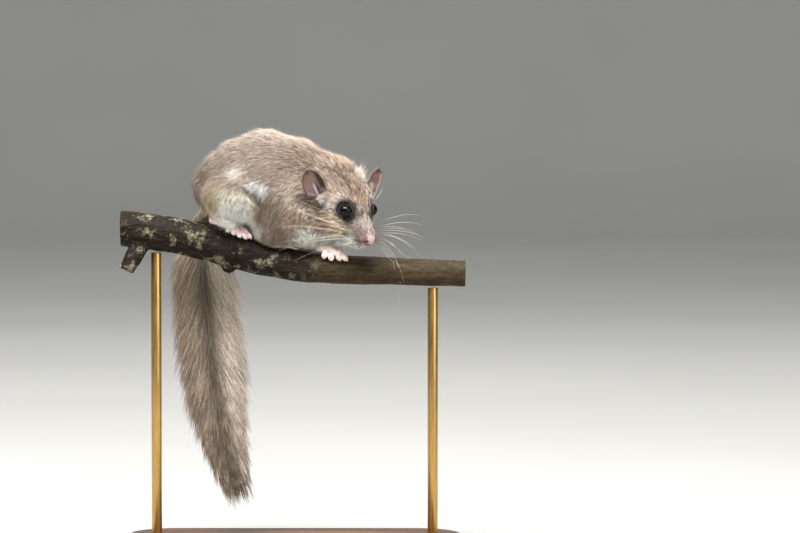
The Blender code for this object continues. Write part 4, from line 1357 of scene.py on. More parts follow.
def make_ears(material):
    """Thin, rounded cups with a rolled rim and folds towards their root."""
    for hand, name in SIDES:

        def shape(u, v, hand=hand):
            w = math.sin((u - 0.5) * math.pi * 0.999)
            return head_place(*ear_point(hand, w, math.sin(v * math.pi / 2) * 0.995))

        ear = wound_grid("ear_" + name + "_cup", 34, 40, shape)
        in_edit(ear, merge_close)
        finish_with(ear, "SMOOTH", factor=0.5, iterations=2)
        finish_with(ear, "SOLIDIFY", thickness=0.5 * MM, offset=0.0)
        in_edit(ear, face_outwards)
        smooth_faces(finish_with(ear, "SUBSURF", levels=1, render_levels=1))
        root, along, across, _ = ear_frame(hand)
        rel = to_head(to_perch(points_of(ear))) - root
        v = rel @ along / (along @ along)
        w = hand * (rel @ across) / EAR_HALF_WIDTH
        # brown, greyer in its lower part, with a pale line painted as a highlight along the first fold, a
        # dark slit of painted shade between the folds, and a dark inner side
        tone = np.tile(linear("#7c6155"), (len(rel), 1))
        low = 1 - smooth_step(0.44, 0.62, v)
        paint(tone, low * 0.85, "#6f5b60")
        paint(tone, np.exp(-(((w + 0.1) / 0.1) ** 2)) * low * 0.85, "#c3b0b8")
        slit = np.exp(-(((w + 0.35) / 0.085) ** 2) - (((v - 0.37) / 0.16) ** 2))
        paint(tone, slit * 0.9, "#3b2025")
        paint(tone, smooth_step(0.42, 0.66, -w) * smooth_step(0.25, 0.4, v) * 0.92, "#2f2019")
        # the rim is dark, and on the left ear pale along its outer edge
        rim = np.sqrt(w * w + np.clip(2 * v - 1, 0, 1) ** 2)
        edge = smooth_step(0.84, 0.98, rim)[:, None]
        pale = (smooth_step(0.0, 0.6, w) if hand > 0 else np.zeros(len(w)))[:, None]
        tone += edge * 0.8 * (linear("#44322b") * (1 - pale) + linear("#c4b6a6") * pale - tone)
        store_tone(ear.data, tone)
        dress(ear, material, "bare_skin", "ear_" + name)


def ear_material():
    """Thin ear skin: light comes through it, and fine down and veins cover it."""
    made, tree, shader = new_material(
        "thin_ear_skin", roughness=0.5, ior=1.42, specular_ior_level=0.4, subsurface_weight=0.2
    )
    shader.inputs["Subsurface Scale"].default_value = 0.8 * MM
    shader.inputs["Subsurface Radius"].default_value = (1.0, 0.4, 0.25)
    coords = add(tree, "ShaderNodeTexCoord")
    # veins about 1.5 mm apart
    veins = add(
        tree,
        "ShaderNodeTexNoise",
        {"Vector": coords.outputs["Object"], "Scale": 1 / (1.5 * MM), "Detail": 4, "Distortion": 1.2},
    )
    mixed = shaded_tone(tree, veins, (0.35, 0.65), (0.85, 1.1))
    bump = add(
        tree, "ShaderNodeBump", {"Height": veins.outputs["Fac"], "Strength": 0.3, "Distance": 0.1 * MM}
    )
    tree.links.new(mixed.outputs["Color"], shader.inputs["Base Color"])
    tree.links.new(bump.outputs["Normal"], shader.inputs["Normal"])
    return made


# How far up the coat's hair covers each ear's root: (share of the ear that it grows from, its length).
EAR_COVER = {-1: (0.06, 3.2), 1: (0.28, 4.0)}
EAR_BACK_HAIRS = 1150
EAR_RIM_HAIRS = 620
EAR_ROOT_HAIRS = 1700


def make_ear_hair(material):
    """Down on the back and the rim of each ear, and the pale tuft in front of its root."""
    for hand, name in SIDES:
        root, along, across, facing = ear_frame(hand)
        # (place, normal, way, length, colour, spot) of each hair: the ear's back, its rim and the hair
        # before its root each have a third of the unwrap
        rows = []
        for _ in range(EAR_BACK_HAIRS):
            w, v = draw.uniform(-1, 1), draw.uniform(0.02, 0.98)
            here = ear_point(hand, w, v, -0.25)
            out, way = -facing + across * w * 0.6, along + across * w * 3.0
            spot = ((w + 1) * 0.15 + 0.01, v)
            rows.append((here, out, way, draw.uniform(0.9, 1.5), linear("#9a8273"), spot))
        for k in range(EAR_RIM_HAIRS):
            v = draw.uniform(0.05, 1.0)
            w = draw.choice((-1.0, 1.0)) * draw.uniform(0.9, 1.0)
            if k % 2:
                v, w = draw.uniform(0.86, 0.99), draw.uniform(-1, 1)
            here = ear_point(hand, w, v, 0.1)
            out, way = across * w + along * 0.05 * v, along * 0.8 + across * w * 4.0 + facing * 1.5
            spot = ((w + 1) * 0.15 + 0.34, v)
            rows.append((here, out, way, draw.uniform(0.6, 1.1), linear("#54433b"), spot))
        low, high = EAR_COVER[hand]
        for _ in range(EAR_ROOT_HAIRS):
            # the coat's own hair before the root: pale in the middle, and dark at the ear's outer edge,
            # partly dark hair and partly painted shade behind the ear
            w, v = draw.uniform(-1.1, 1.1 if hand < 0 else -0.2), draw.uniform(-0.16, low)
            here = root + along * v + across * w * hand * EAR_HALF_WIDTH * 0.8
            here = here + facing * draw.uniform(-1.6, 1.0)
            way = along * 0.9 + facing * 2.0 + across * draw.uniform(-4, 4)
            length = high * draw.uniform(0.75, 1.1)
            pale = hand < 0 and w + draw.uniform(-0.7, 0.7) > -0.3 and draw.random() < 0.6
            tone = linear("#5f5041" if w > 0.4 else "#cfc5c4" if pale else "#a38f7e")
            rows.append((here, facing, way, length, tone, ((w + 1.1) * 0.14 + 0.68, (v + 0.16) / 0.5)))
        places, outs, ways, lengths, tones, spots = (np.array(column) for column in zip(*rows))
        hair_piece(
            "ear_down_" + name,
            material,
            spots,
            lambda centres, tones=tones: np.repeat(tones[:, None], 3, axis=1),
            0.15,
            from_head(places),
            unit(outs @ HEAD_TURN.T),
            unit(ways @ HEAD_TURN.T),
            lengths,
            np.full(len(rows), math.radians(24.0)),
            np.full(len(rows), 0.05),
            3,
            5,
            0.3,
        )


HEM_LINE = ((-26.0, 14.4), (-17.5, 11.6))  # the thigh's lower edge, as (x, z) from the perch point
HEM_POINTS = 240  # the skin's points nearest to it, which carry the hairs
HEM_HAIRS = 1100


def make_thigh_hems(skin, material):
    """The pale hairs that hang from each thigh's lower edge over the sole."""
    places = to_perch(points_of(skin))
    spots = unwrap_spots(skin)
    for side, name in SIDES:
        beside = (places[:, 1] - MIDDLE_Y) * side
        far = segment_distance(places[:, (0, 2)], *HEM_LINE) + 100 * (beside < 6.0)
        picks = draw.choice(np.argsort(far - 0.25 * beside)[:HEM_POINTS], HEM_HAIRS)
        hair_piece(
            "thigh_hem_" + name,
            material,
            spots[picks],
            coat_along,
            0.08,
            places[picks] + draw.uniform(-0.3, 0.3, (HEM_HAIRS, 3)),
            np.tile((-0.15, 0.95 * side, 0.1), (HEM_HAIRS, 1)),
            unit(np.array((0.25, 0.0, -1.0)) + 0.12 * draw.standard_normal((HEM_HAIRS, 3))),
            draw.uniform(4.4, 6.2, HEM_HAIRS),
            np.radians(draw.uniform(4.0, 26.0, HEM_HAIRS)),
            np.full(HEM_HAIRS, 0.055),
            3,
            4,
            0.25,
        )


# The tufts between the crown and the ears: (name, middle in the head's frame, points of the skin that it
# covers, hairs, lengths, share of pale colour).
TUFTS = (
    ("crown_tuft_right", (-11.6, -7.0, 8.8), 190, 300, (2.6, 4.2), 0.1),
    ("crown_tuft_left", (-11.6, 7.0, 8.8), 190, 900, (4.6, 7.6), 0.6),
    ("temple_tuft_left", (-8.0, 8.6, 6.0), 240, 900, (3.8, 5.4), 0.0),
)


def make_tufts(skin, material):
    """The woolly tufts that stand before the ears, with a few long wisps."""
    places = to_head(to_perch(points_of(skin)))
    outs = normals_of(skin) @ HEAD_TURN
    spots = unwrap_spots(skin)
    for name, middle, reach, count, (short, long), pale in TUFTS:
        hand = math.copysign(1, middle[1])
        far = np.linalg.norm((places - middle) / (1.2, 1.0, 1.0), axis=1)
        picks = draw.choice(np.argsort(far)[:reach], count)
        roots = from_head(places[picks] + draw.uniform(-0.25, 0.25, (count, 3)))
        ways = unit(np.array((-0.45, 0.5 * hand, 0.8)) + 0.3 * draw.standard_normal((count, 3)))
        wisp = draw.random(count) < 0.04 * pale

        def paled(centres, pale=pale):
            coat = coat_along(centres)
            return coat + pale * (linear("#d6cabb") - coat)

        hair_piece(
            name,
            material,
            spots[picks],
            paled,
            0.2,
            roots,
            unit(outs[picks] @ HEAD_TURN.T),
            ways @ HEAD_TURN.T,
            np.where(wisp, long * 1.35, draw.uniform(short, long, count)),
            np.radians(draw.uniform(55.0, 105.0 if pale else 75.0, count)),
            np.where(wisp, 0.06, 0.045),
            4,
            7,
            0.4,
        )


def make_nose(material):
    """The bare nose: a moist pad with two comma-shaped nostrils and a groove down to the lip."""
    nose = primitive(
        "nose_pad", bpy.ops.mesh.primitive_uv_sphere_add, segments=64, ring_count=48, radius=1.0
    )
    points = points_of(nose)
    x, _, z = points.T
    # blunt, as a muzzle's end is: fuller at its corners than an egg
    points = np.sign(points) * np.abs(points) ** 0.8 * NOSE_SIZES
    side = np.abs(points[:, 1])
    front = x > -0.2
    pit = np.exp(-(((side - 2.2) / 0.42) ** 2 + ((points[:, 2] + 1.15) / 0.40) ** 2)) * front
    tail = np.exp(-(((side - 2.7) / 0.5) ** 2 + ((points[:, 2] + 0.8) / 0.22) ** 2)) * front
    groove = np.exp(-((points[:, 1] / 0.2) ** 2)) * smooth_step(0.6, -0.4, z) * front
    points -= unit(points) * (1.1 * pit + 0.5 * tail + 0.4 * groove)[:, None]
    # each nostril has a raised outer wing
    wing = np.exp(-(((side - 2.6) / 0.5) ** 2 + ((points[:, 2] + 1.5) / 0.7) ** 2)) * front
    points += unit(points) * (0.22 * wing)[:, None]
    points[:, 2] *= 1 - 0.12 * smooth_step(0.0, 1.0, side / NOSE_SIZES[1])
    placed = from_head(points @ np.array(Matrix.Rotation(math.radians(-14), 3, "Y")).T + NOSE_SPOT)
    move_points(nose, from_perch(placed))
    # dark at its back and sides: painted shade, as deep as the self-shadow of the hair round the pad
    tone = np.tile(linear("#6b5250"), (len(points), 1))
    paint(tone, smooth_step(0.5, 0.98, x), "#bba9a4")
    near_pit = np.exp(-(((side - 2.2) / 1.2) ** 2 + ((points[:, 2] + 1.0) / 1.2) ** 2))
    paint(tone, near_pit * 0.7, "#70413e")
    # the nostrils, their tails and the groove painted near-black: painted shade in the hollows
    paint(tone, np.clip(1.2 * pit + 0.6 * tail + 0.3 * groove, 0, 1), "#43181a")
    paint(tone, smooth_step(0.2, 0.9, z) * 0.7, "#7c6b67")
    store_tone(nose.data, tone)
    dress(smooth_faces(nose), material, "bare_skin")


def nose_material():
    """A moist nose: fine cobbles 0.25 mm across under a film of water."""
    made, tree, shader = new_material(
        "moist_nose",
        roughness=0.55,
        ior=1.4,
        specular_ior_level=0.3,
        coat_weight=0.06,
        coat_roughness=0.25,
        subsurface_weight=0.05,
        subsurface_scale=0.6 * MM,
    )
    shader.inputs["Subsurface Radius"].default_value = (1.0, 0.4, 0.25)
    tone = add(tree, "ShaderNodeAttribute", attribute_name="coat_tone")
    coords = add(tree, "ShaderNodeTexCoord")
    cobbles = add(
        tree,
        "ShaderNodeTexVoronoi",
        {"Vector": coords.outputs["Object"], "Scale": 1 / (0.25 * MM)},
        feature="SMOOTH_F1",
    )
    bump = add(
        tree,
        "ShaderNodeBump",
        {"Height": cobbles.outputs["Distance"], "Strength": 0.3, "Distance": 0.05 * MM},
        invert=True,
    )
    tree.links.new(tone.outputs["Color"], shader.inputs["Base Color"])
    tree.links.new(bump.outputs["Normal"], shader.inputs["Normal"])
    return made


def tapered_tube(name, path, radii, sides=6):
    """A round tube along a path in metres, which ends in a point."""
    path = [Vector(p) for p in path]
    last = len(path) - 1

    def shape(u, v):
        k = min(int(round(v * last)), last)
        ahead = (path[min(k + 1, last)] - path[max(k - 1, 0)]).normalized()
        side = ahead.orthogonal().normalized()
        turn = 2 * math.pi * u
        reach = radii[k] * MM
        return path[k] + (side * math.cos(turn) + ahead.cross(side) * math.sin(turn)) * reach

    tube = wound_grid(name, sides, last, shape)
    return in_edit(tube, merge_close)


WHISKER_STEPS = 12
WHISKER_ROWS = 5
BROW_HAIRS = 3
CHIN_HAIRS = 14
# Each side's whiskers: (hand, name, how much more they point forward, how much they hang).
WHISKER_SIDES = ((-1, "right", -0.75, 0.4), (1, "left", 0.0, 1.0))


def whisker(root, way, fall, long, thick, hand):
    """One whisker from a root in the head's frame, which leaves along way and then bends by fall."""
    way = way / np.linalg.norm(way)
    path, radii = [], []
    for k in range(WHISKER_STEPS + 1):
        s = k / WHISKER_STEPS
        path.append(head_place(*(root + (way * s + fall * s * s) * long * (1, hand, 1))))
        radii.append(thick * (1 - s) ** 0.8 + 0.006)
    path = from_perch(clear_of_bark(to_perch(np.array(path))))
    made = tapered_tube("whisker", path, radii)
    part = np.linalg.norm(points_of(made) - np.array(path[0]), axis=1) / (long * MM)
    part = smooth_step(0.05, 0.45, part)[:, None]
    store_tone(made.data, linear("#4a3a2e") * (1 - part) + linear("#e3dac8") * part)
    return made


def make_whiskers(skin, material):
    """Rows of long whiskers on both sides of the muzzle, a few over each eye and short ones on the chin."""
    surface = search_tree(to_head(to_perch(points_of(skin))))
    for hand, name, sweep, droop in WHISKER_SIDES:

        def root_at(spot, hand=hand):
            """The point of the skin on this side that is nearest to the spot."""
            return np.array(surface.find(Vector(np.array(spot) * (1, hand, 1)))[0])

        pieces = []
        for row in range(WHISKER_ROWS):
            for column in range(4 if hand > 0 else 3):
                spot = (10.2 - 1.5 * column, 4.2 + 0.45 * column, -5.2 - 1.0 * row)
                root = root_at(spot)
                long = 25 + 6.0 * column + draw.uniform(-3, 3) - 1.6 * max(0, row - 2)
                way = np.array((0.42 - 0.12 * column + sweep, 0.85, 0.30 - 0.12 * row - 0.06 * row * droop))
                way += 0.07 * draw.standard_normal(3)
                fall = np.array((-0.08, -0.12, (-0.38 - 0.05 * row) * droop)) + 0.05 * draw.standard_normal(3)
                pieces.append(whisker(root, way, fall, long, 0.055 if hand > 0 else 0.045, hand))
        for k in range(BROW_HAIRS):
            spot = (1.5 - 1.3 * k, 6.0, 4.6)
            root = root_at(spot)
            way = np.array((0.1 - 0.25 * k, 0.55, 0.8))
            pieces.append(whisker(root, way, np.array((-0.35, 0.0, -0.15)), 11 - 1.5 * k, 0.05, hand))
        for k in range(CHIN_HAIRS):
            spot = (11.5 - 0.6 * k, 2.6 + 0.2 * k, -12.0)
            root = root_at(spot)
            way = np.array((0.25, 0.45, -0.8)) + 0.15 * draw.standard_normal(3)
            pieces.append(whisker(root, way, np.array((-0.3, 0.0, 0.0)), draw.uniform(2.5, 4.5), 0.035, hand))
        whiskers = join("whiskers_" + name, pieces)
        dress(smooth_faces(in_edit(whiskers, face_outwards)), material, "fur")


# The branch's middle line in the plane y = 0, from its old end: (x, z, radius).
BRANCH = (
    (-64.0, 9.4, 7.8),
    (-38.7, 6.0, 8.0),
    (-17.2, 0.4, 8.3),
    (-2.2, -3.6, 7.5),
    (12.9, -6.9, 6.8),
    (34.4, -8.6, 6.3),
    (55.9, -9.1, 6.0),
    (84.0, -10.2, 5.8),
)
BARK_SWELL = 0.45  # millimetres that the bark's slow unevenness adds at most
HAIR_OVER_BARK = 0.4  # millimetres between the branch's own radius and the hair that lies on it
BRANCH_TABLE = np.array([spline_point(BRANCH, k / 80) for k in range(81)])
# Each kind of foot: its sole over the bark as (x, angle from the top, lift), the sole's half widths and
# heights, and its toes as (x at the root, x at the tip, angle at the root, angle at the tip).
HIND_SOLE = ((-24.4, 13, 2.3), (-21.0, 15, 2.2), (-18.0, 16, 2.1), (-14.5, 17, 1.8))
HIND_SIZES = ((2.1, 2.0), (2.2, 1.9), (2.5, 1.8), (2.6, 1.5))
HIND_TOES = (
    (-17.6, -16.0, 18, 33),
    (-16.2, -13.9, 19, 38),
    (-14.6, -11.8, 20, 41),
    (-12.8, -9.8, 19, 40),
    (-11.6, -8.4, 14, 33),
)
FORE_SOLE = ((21.0, 8, 2.5), (25.2, 20, 2.4), (29.6, 32, 2.2))
FORE_SIZES = ((2.2, 2.1), (3.3, 2.3), (3.6, 2.0))
FORE_TOES = (
    (24.0, 23.8, 18, 46),
    (26.2, 26.8, 22, 52),
    (28.8, 30.2, 22, 50),
    (30.2, 33.2, 16, 50),
)
FOOT_FORMS = {"hind": (HIND_SOLE, HIND_SIZES, HIND_TOES), "fore": (FORE_SOLE, FORE_SIZES, FORE_TOES)}
FOOT_HAIRS = {"hind": 700, "fore": 1000}
# Each foot: (kind, hand, shift along the branch, side: 1 is towards -Y, the toes' radius).
FEET = (
    ("hind", "right", 0.0, 1, 1.12),
    ("hind", "left", 4.0, -1, 1.12),
    ("fore", "right", 0.0, 1, 1.3),
    ("fore", "left", -10.6, -1, 1.3),
)
TOE_PARTING = {"hind": 0.55, "fore": 0.25}  # millimetres more between the toes at their tips
TOE_ARCH = {"hind": 1.9, "fore": 1.2}
SOLE_STEPS = 12
TOE_STEPS = 8
FOOT_VOXEL = 0.2
FOOT_HALF_WIDTH = 2.2


def branch_at(x):
    """(z, radius) of the branch at x."""
    along, middle, radius = BRANCH_TABLE.T
    return np.interp(x, along, middle), np.interp(x, along, radius)


def clear_of_bark(points):
    """Moves what lies in the branch out to its bark, so that hair and whiskers bend over it."""
    z, radius = branch_at(points[..., 0])
    away = np.hypot(points[..., 1], points[..., 2] - z)
    reach = np.maximum(1.0, (radius + HAIR_OVER_BARK) / np.maximum(away, 0.5))
    return np.stack((points[..., 0], points[..., 1] * reach, z + (points[..., 2] - z) * reach), axis=-1)


def on_branch(x, angle, lift):
    """A point over the bark, in metres, at an angle from the top towards -Y."""
    z, radius = branch_at(x)
    away = radius + BARK_SWELL + lift
    turn = math.radians(angle)
    return place(x, -away * math.sin(turn), z + away * math.cos(turn))


def turned_along(ahead, up):
    """Turns +X to ahead, with +Z as near to up as it goes."""
    side = up.cross(ahead).normalized()
    return Matrix((ahead, side, ahead.cross(side))).transposed().to_4x4()


def ball_matrix(centre, ahead, long, wide, high):
    """Stretches a unit ball along ahead and sets it in its place, in metres."""
    turn = turned_along(ahead.normalized(), Vector((0, 0, 1)))
    return Matrix.Translation(centre) @ turn @ Matrix.Diagonal((long * MM, wide * MM, high * MM, 1))


def make_feet(skin_material, claw_material):
    """Bare feet that grip the bark: soft soles, knuckled toes with round pads, and small hooked claws."""
    ball = primitive("ball", bpy.ops.mesh.primitive_ico_sphere_add, subdivisions=3, radius=1.0)
    claw = make_claw()
    for kind, hand, shift, side, radius in FEET:
        sole, sizes, toes = FOOT_FORMS[kind]
        pieces, claws = [], []
        path = [on_branch(x + shift, angle * side, lift) for x, angle, lift in sole]
        for k in range(SOLE_STEPS + 1):
            s = k / SOLE_STEPS
            here = Vector(spline_point([tuple(p) for p in path], s))
            wide, high = spline_point(sizes, s)
            ahead = path[-1] - path[0]
            pieces.append(placed_copy(ball, ball_matrix(here, ahead, 1.7, wide, high)))
        for number, (root_x, tip_x, root_angle, tip_angle) in enumerate(toes):
            # the toes part from each other and arch high over their knuckles before their pads
            part = TOE_PARTING[kind] * (number - (len(toes) - 1) / 2)
            spots = []
            for k in range(TOE_STEPS + 1):
                s = k / TOE_STEPS
                x = root_x + (tip_x - root_x) * s * 0.6 + part * s + shift
                angle = root_angle * (1 - s) ** 2 + tip_angle * (1 - (1 - s) ** 2)
                arch = radius + 0.15 + TOE_ARCH[kind] * (1 - s) * (0.6 + 1.3 * s)
                spots.append(on_branch(x, angle * side, arch))
            for k, here in enumerate(spots):
                s = k / TOE_STEPS
                ahead = spots[min(k + 1, TOE_STEPS)] - spots[max(k - 1, 0)]
                knuckle = 0.12 * math.exp(-(((s - 0.4) / 0.15) ** 2))
                pad = 0.26 * math.exp(-(((s - 0.93) / 0.16) ** 2))
                size = radius * (0.84 + (knuckle + pad))
                pieces.append(placed_copy(ball, ball_matrix(here, ahead, size, size, size * 0.94)))
            ahead = (spots[-1] - spots[-3]).normalized()
            out = (spots[-1] - place(tip_x + shift, 0, branch_at(tip_x + shift)[0])).normalized()
            base = spots[-1] + ahead * radius * 0.75 * MM + out * 0.3 * MM
            claws.append(placed_copy(claw, Matrix.Translation(base) @ turned_along(ahead, out)))
        foot = join(f"{kind}foot_{hand}_skin", pieces)
        finish_with(foot, "REMESH", mode="VOXEL", voxel_size=FOOT_VOXEL * MM)
        finish_with(foot, "SMOOTH", factor=0.5, iterations=5)
        dress(smooth_faces(foot), skin_material, "bare_skin", f"{kind}foot_{hand}")
        claws = smooth_faces(join(f"claws_{kind}_{hand}", claws))
        dress(claws, claw_material, "bare_skin")
    drop(ball, claw)


def make_claw():
    """One hooked claw along +X from the origin, 1.7 mm long, which every toe gets a copy of."""

    def shape(u, v):
        turn = 2 * math.pi * u
        thick = 0.42 * (1 - v) ** 0.75 + 0.01
        return Vector(
            (
                (1.7 * v - 0.3 * v * v) * MM,
                thick * 0.62 * math.cos(turn) * MM,
                (thick * math.sin(turn) - 0.75 * v * v) * MM,
            )
        )

    claw = wound_grid("claw", 12, 10, shape)
    return in_edit(claw, merge_close, face_outwards)


def make_foot_hair(material):
    """Short white hairs over the heel and the back of each foot."""
    rows = []
    for foot, (kind, _, shift, side, _) in enumerate(FEET):
        for _ in range(FOOT_HAIRS[kind]):
            s = draw.random() ** 1.2
            x, angle, lift = spline_point(FOOT_FORMS[kind][0], s)
            turn = draw.uniform(-70, 70)
            middle = on_branch(x + shift, angle * side, lift)
            out = Vector((0.0, -math.sin(math.radians(turn)), math.cos(math.radians(turn))))
            here = to_perch(np.array(middle)) + np.array(out) * FOOT_HALF_WIDTH * 0.93
            # a quarter of the unwrap for each foot
            rows.append((here, out, (1.0, -0.35 * side, -0.3), ((foot + s) / 4, (turn + 70) / 140)))
    places, outs, ways, spots = (np.array(column) for column in zip(*rows))
    count = len(rows)
    hair_piece(
        "foot_hair",
        material,
        spots,
        lambda centres: np.tile(linear("#faf6f2"), (count, 3, 1)),
        0.08,
        places,
        unit(outs),
        unit(ways),
        draw.uniform(1.0, 2.0, count),
        np.full(count, math.radians(20.0)),
        np.full(count, 0.045),
        3,
        5,
        0.3,
    )


# the branch and its stand


BARK_VOXEL = 0.5
SAWN_POINTS = (-63.4, 83.4)  # the bark's points beyond these, along the branch, lie on its sawn ends
SAWN_FACES = (-63.2, 83.2)  # and the middles of its faces beyond these


def make_bark(material, cut_material):
    """The branch with its bark's ridges, cracks and lenticels; smoother towards its young end."""
    bark = cad_copy("perch_branch")
    finish_with(bark, "REMESH", mode="VOXEL", voxel_size=BARK_VOXEL * MM)
    points = to_perch(points_of(bark))
    ends = (points[:, 0] < SAWN_POINTS[0]) | (points[:, 0] > SAWN_POINTS[1])
    before = points.copy()
    finish_with(bark, "SMOOTH", factor=0.5, iterations=10)
    points = to_perch(points_of(bark))
    normals = normals_of(bark)
    points[ends] = before[ends]
    z = branch_at(points[:, 0])[0]
    turn = np.arctan2(points[:, 1], points[:, 2] - z)
    old = 1 - smooth_step(-5.0, 30.0, points[:, 0])
    along = np.stack((points[:, 0] * 0.11, np.cos(turn) * 2.6, np.sin(turn) * 2.6), axis=1)
    ridges = np.array([noise.noise(Vector(p)) for p in along.tolist()])
    fine = np.stack((points[:, 0] * 0.28, np.cos(turn) * 7.0, np.sin(turn) * 7.0), axis=1)
    cracks = np.array([abs(noise.noise(Vector(p))) for p in fine.tolist()])
    grain = wander(points, 1.3, 4.0)
    lenticels = smooth_step(0.52, 0.7, wander(points * (0.6, 1.0, 1.0), 2.2, 8.0))
    relief = ridges * (0.16 + 0.22 * old) - (0.12 + 0.30 * old) * np.exp(-cracks / 0.07)
    relief += grain * (0.03 + 0.09 * old) + 0.14 * lenticels * (1 - 0.5 * old)
    relief[ends] = 0
    points += normals * relief[:, None]
    move_points(bark, from_perch(points))
    pith = bark.data.attributes.new("from_pith", "FLOAT", "POINT")
    away = np.hypot(points[:, 1], points[:, 2] - z) * MM
    pith.data.foreach_set("value", away.astype(np.float32))
    bark.name = "bark"
    dress(smooth_faces(bark), material, "bark", "perch_branch")
    bark.data.materials.append(cut_material)
    faces = bark.data.polygons
    facing = np.abs(read(faces, "normal", 3)[:, 0])
    x = to_perch(read(faces, "center", 3).astype(np.float64))[:, 0]
    sawn = (facing > 0.75) & ((x < SAWN_FACES[0]) | (x > SAWN_FACES[1]))
    faces.foreach_set("material_index", sawn.astype(np.int32))
    bark.data.update()


BASE_SIZE = (146.0, 82.0, 9.0)
BASE_CORNER = 20.0
BASE_EDGE = 1.6
BASE_FOOT_EDGE = 0.4
ROD_RADIUS = 2.2
ROD_EDGE = 0.3
SMOOTH_BELOW = math.radians(35)  # edges flatter than this are shaded smooth


def select_edges(obj, wanted):
    """Leaves only those edges selected, in edit mode, whose two ends wanted accepts."""
    only(obj)
    bpy.ops.object.mode_set(mode="EDIT")
    bpy.ops.mesh.select_mode(type="EDGE")
    bpy.ops.mesh.select_all(action="DESELECT")
    bpy.ops.object.mode_set(mode="OBJECT")
    for edge in obj.data.edges:
        a, b = (obj.data.vertices[i].co for i in edge.vertices)
        edge.select = bool(wanted(a, b))
    bpy.ops.object.mode_set(mode="EDIT")


def ease(obj, wanted, width, segments):
    """Bevels the edges whose two ends wanted accepts, by a width in millimetres."""
    select_edges(obj, wanted)
    bpy.ops.mesh.bevel(offset=width * MM, segments=segments, affect="EDGES")
    bpy.ops.object.mode_set(mode="OBJECT")


def smooth_flat_edges(obj):
    only(obj)
    bpy.ops.object.shade_smooth_by_angle(angle=SMOOTH_BELOW)
    return obj


def make_stand(wood, brass):
    """A walnut slab with round corners and an eased top edge, and two brass rods under the branch."""
    length, depth, height = (s * MM for s in BASE_SIZE)
    base = primitive(
        "stand_slab",
        bpy.ops.mesh.primitive_cube_add,
        size=1,
        location=(0, 0, height / 2),
        scale=(length, depth, height),
    )
    rest_at_origin(base)
    ease(base, lambda a, b: abs(a.z - b.z) > height / 2, BASE_CORNER, 16)
    ease(base, lambda a, b: min(a.z, b.z) > height * 0.9, BASE_EDGE, 5)
    ease(base, lambda a, b: max(a.z, b.z) < height * 0.1, BASE_FOOT_EDGE, 2)
    dress(smooth_flat_edges(base), wood, "base_wood", "stand_base")
    for name in ("left", "right"):
        low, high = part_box("stand_rod_" + name)
        rod = primitive(
            "rod_" + name,
            bpy.ops.mesh.primitive_cylinder_add,
            vertices=40,
            radius=ROD_RADIUS * MM,
            depth=high.z - low.z,
            location=((low.x + high.x) / 2, (low.y + high.y) / 2, (low.z + high.z) / 2),
        )
        rest_at_origin(rod)
        ease(rod, lambda a, b: abs(a.z - b.z) < 1e-5, ROD_EDGE, 2)
        dress(smooth_flat_edges(rod), brass, "rod_brass", "stand_rod_" + name)


# the studio

FLOOR_RADIUS = 3.2
# The backdrop's rings, each wider than the last by a share and higher by some metres.
BACKDROP = ((1.10, 0.03), (1.09, 0.12), (1.07, 0.25), (1.04, 0.4), (1.01, 0.6), (1.0, 1.6))
# Each light's place in metres, its width and height, and its watts.
LIGHTS = (
    ((-0.25, -0.6, 1.3), 1.4, 0.55, 66.0),
    ((1.0, -0.9, 0.6), 0.9, 0.9, 8.0),
    ((0.1, 1.1, 1.0), 0.8, 0.8, 3.5),
)
LIT_PLACE = (0.02, 0.0, 0.13)
CAMERA_AIM = (0.0459, 0.0, 0.1269)
CAMERA_AWAY = 1.6
CAMERA_RISE = math.radians(3.0)
CAMERA_LENS = 167.4


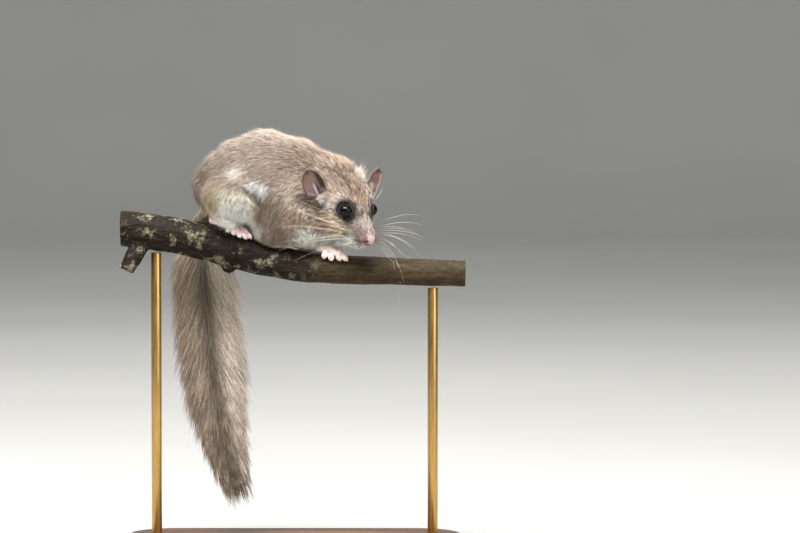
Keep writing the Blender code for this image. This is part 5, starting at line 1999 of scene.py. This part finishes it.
def make_studio():
    """A pale floor that rises into a wide round backdrop, soft lights and the photograph's view."""
    floor = primitive(
        "floor", bpy.ops.mesh.primitive_circle_add, vertices=96, radius=FLOOR_RADIUS, fill_type="NGON"
    )
    select_edges(floor, lambda a, b: True)
    for wide, high in BACKDROP:
        bpy.ops.mesh.extrude_edges_move(TRANSFORM_OT_translate={"value": (0, 0, high)})
        bpy.ops.transform.resize(value=(wide, wide, 1), center_override=(0, 0, 0))
    bpy.ops.mesh.select_all(action="SELECT")
    bpy.ops.mesh.normals_make_consistent(inside=True)
    bpy.ops.object.mode_set(mode="OBJECT")
    smooth_faces(floor)
    made, tree, shader = new_material("pale_paper", roughness=0.9, specular_ior_level=0.1)
    coords = add(tree, "ShaderNodeTexCoord")
    fibres = add(tree, "ShaderNodeTexNoise", {"Vector": coords.outputs["Object"], "Scale": 3.0, "Detail": 2})
    colour = stops(
        add(tree, "ShaderNodeValToRGB", {"Fac": fibres.outputs["Fac"]}), (0.3, "#aaa9a6"), (0.7, "#afaeab")
    )
    tree.links.new(colour.outputs["Color"], shader.inputs["Base Color"])
    floor.data.materials.append(made)

    world = bpy.data.worlds.new("studio_air")
    world.use_nodes = True
    world.node_tree.nodes["Background"].inputs["Color"].default_value = (*linear("#e6e8e6"), 1)
    world.node_tree.nodes["Background"].inputs["Strength"].default_value = 0.85
    bpy.context.scene.world = world
    bpy.context.scene.view_settings.view_transform = "Standard"

    for place_at, size, size_y, power in LIGHTS:
        bpy.ops.object.light_add(type="AREA", location=place_at)
        light = bpy.context.object
        light.data.shape = "RECTANGLE"
        light.data.size = size
        light.data.size_y = size_y
        light.data.energy = power
        light.rotation_euler = (Vector(LIT_PLACE) - Vector(place_at)).to_track_quat("-Z", "Y").to_euler()

    back = Vector((0, -math.cos(CAMERA_RISE), math.sin(CAMERA_RISE)))
    bpy.ops.object.camera_add(
        location=Vector(CAMERA_AIM) + back * CAMERA_AWAY, rotation=(math.pi / 2 - CAMERA_RISE, 0, 0)
    )
    camera = bpy.context.object
    camera.data.sensor_width = 36.0
    camera.data.lens = CAMERA_LENS
    bpy.context.scene.camera = camera


def main():
    make_studio()
    fur = hair_material()
    pink_skin = bare_skin_material("bare_foot_skin", "#f4e6e0", "#d6b5ae", 0.5, 0.35)
    lid_skin = bare_skin_material("dark_lid_skin", "#453c39", "#272120", 0.55, 0.3, 0.0)
    horn = horn_material()

    skin = make_skin()
    unwrap(skin)
    carve_face(skin)
    colour_skin(skin)
    haired = haired_skin_material()
    dress(smooth_faces(skin), haired, "fur", *FLESH)
    make_coat(skin, fur)

    core = make_tail_core()
    unwrap(core)
    store_tone(core.data, np.tile(linear("#75685a"), (len(core.data.vertices), 1)))
    make_tail_hair(core, fur)
    dress(core, haired, "fur", "tail")

    make_eyes(eye_material(), lid_skin)
    make_ears(ear_material())
    make_ear_hair(fur)
    make_tufts(skin, fur)
    make_thigh_hems(skin, fur)
    make_nose(nose_material())
    make_whiskers(skin, fur)
    make_feet(pink_skin, horn)
    make_foot_hair(fur)
    make_bark(bark_material(), cut_wood_material())
    make_stand(walnut_material(), brass_material())


main()
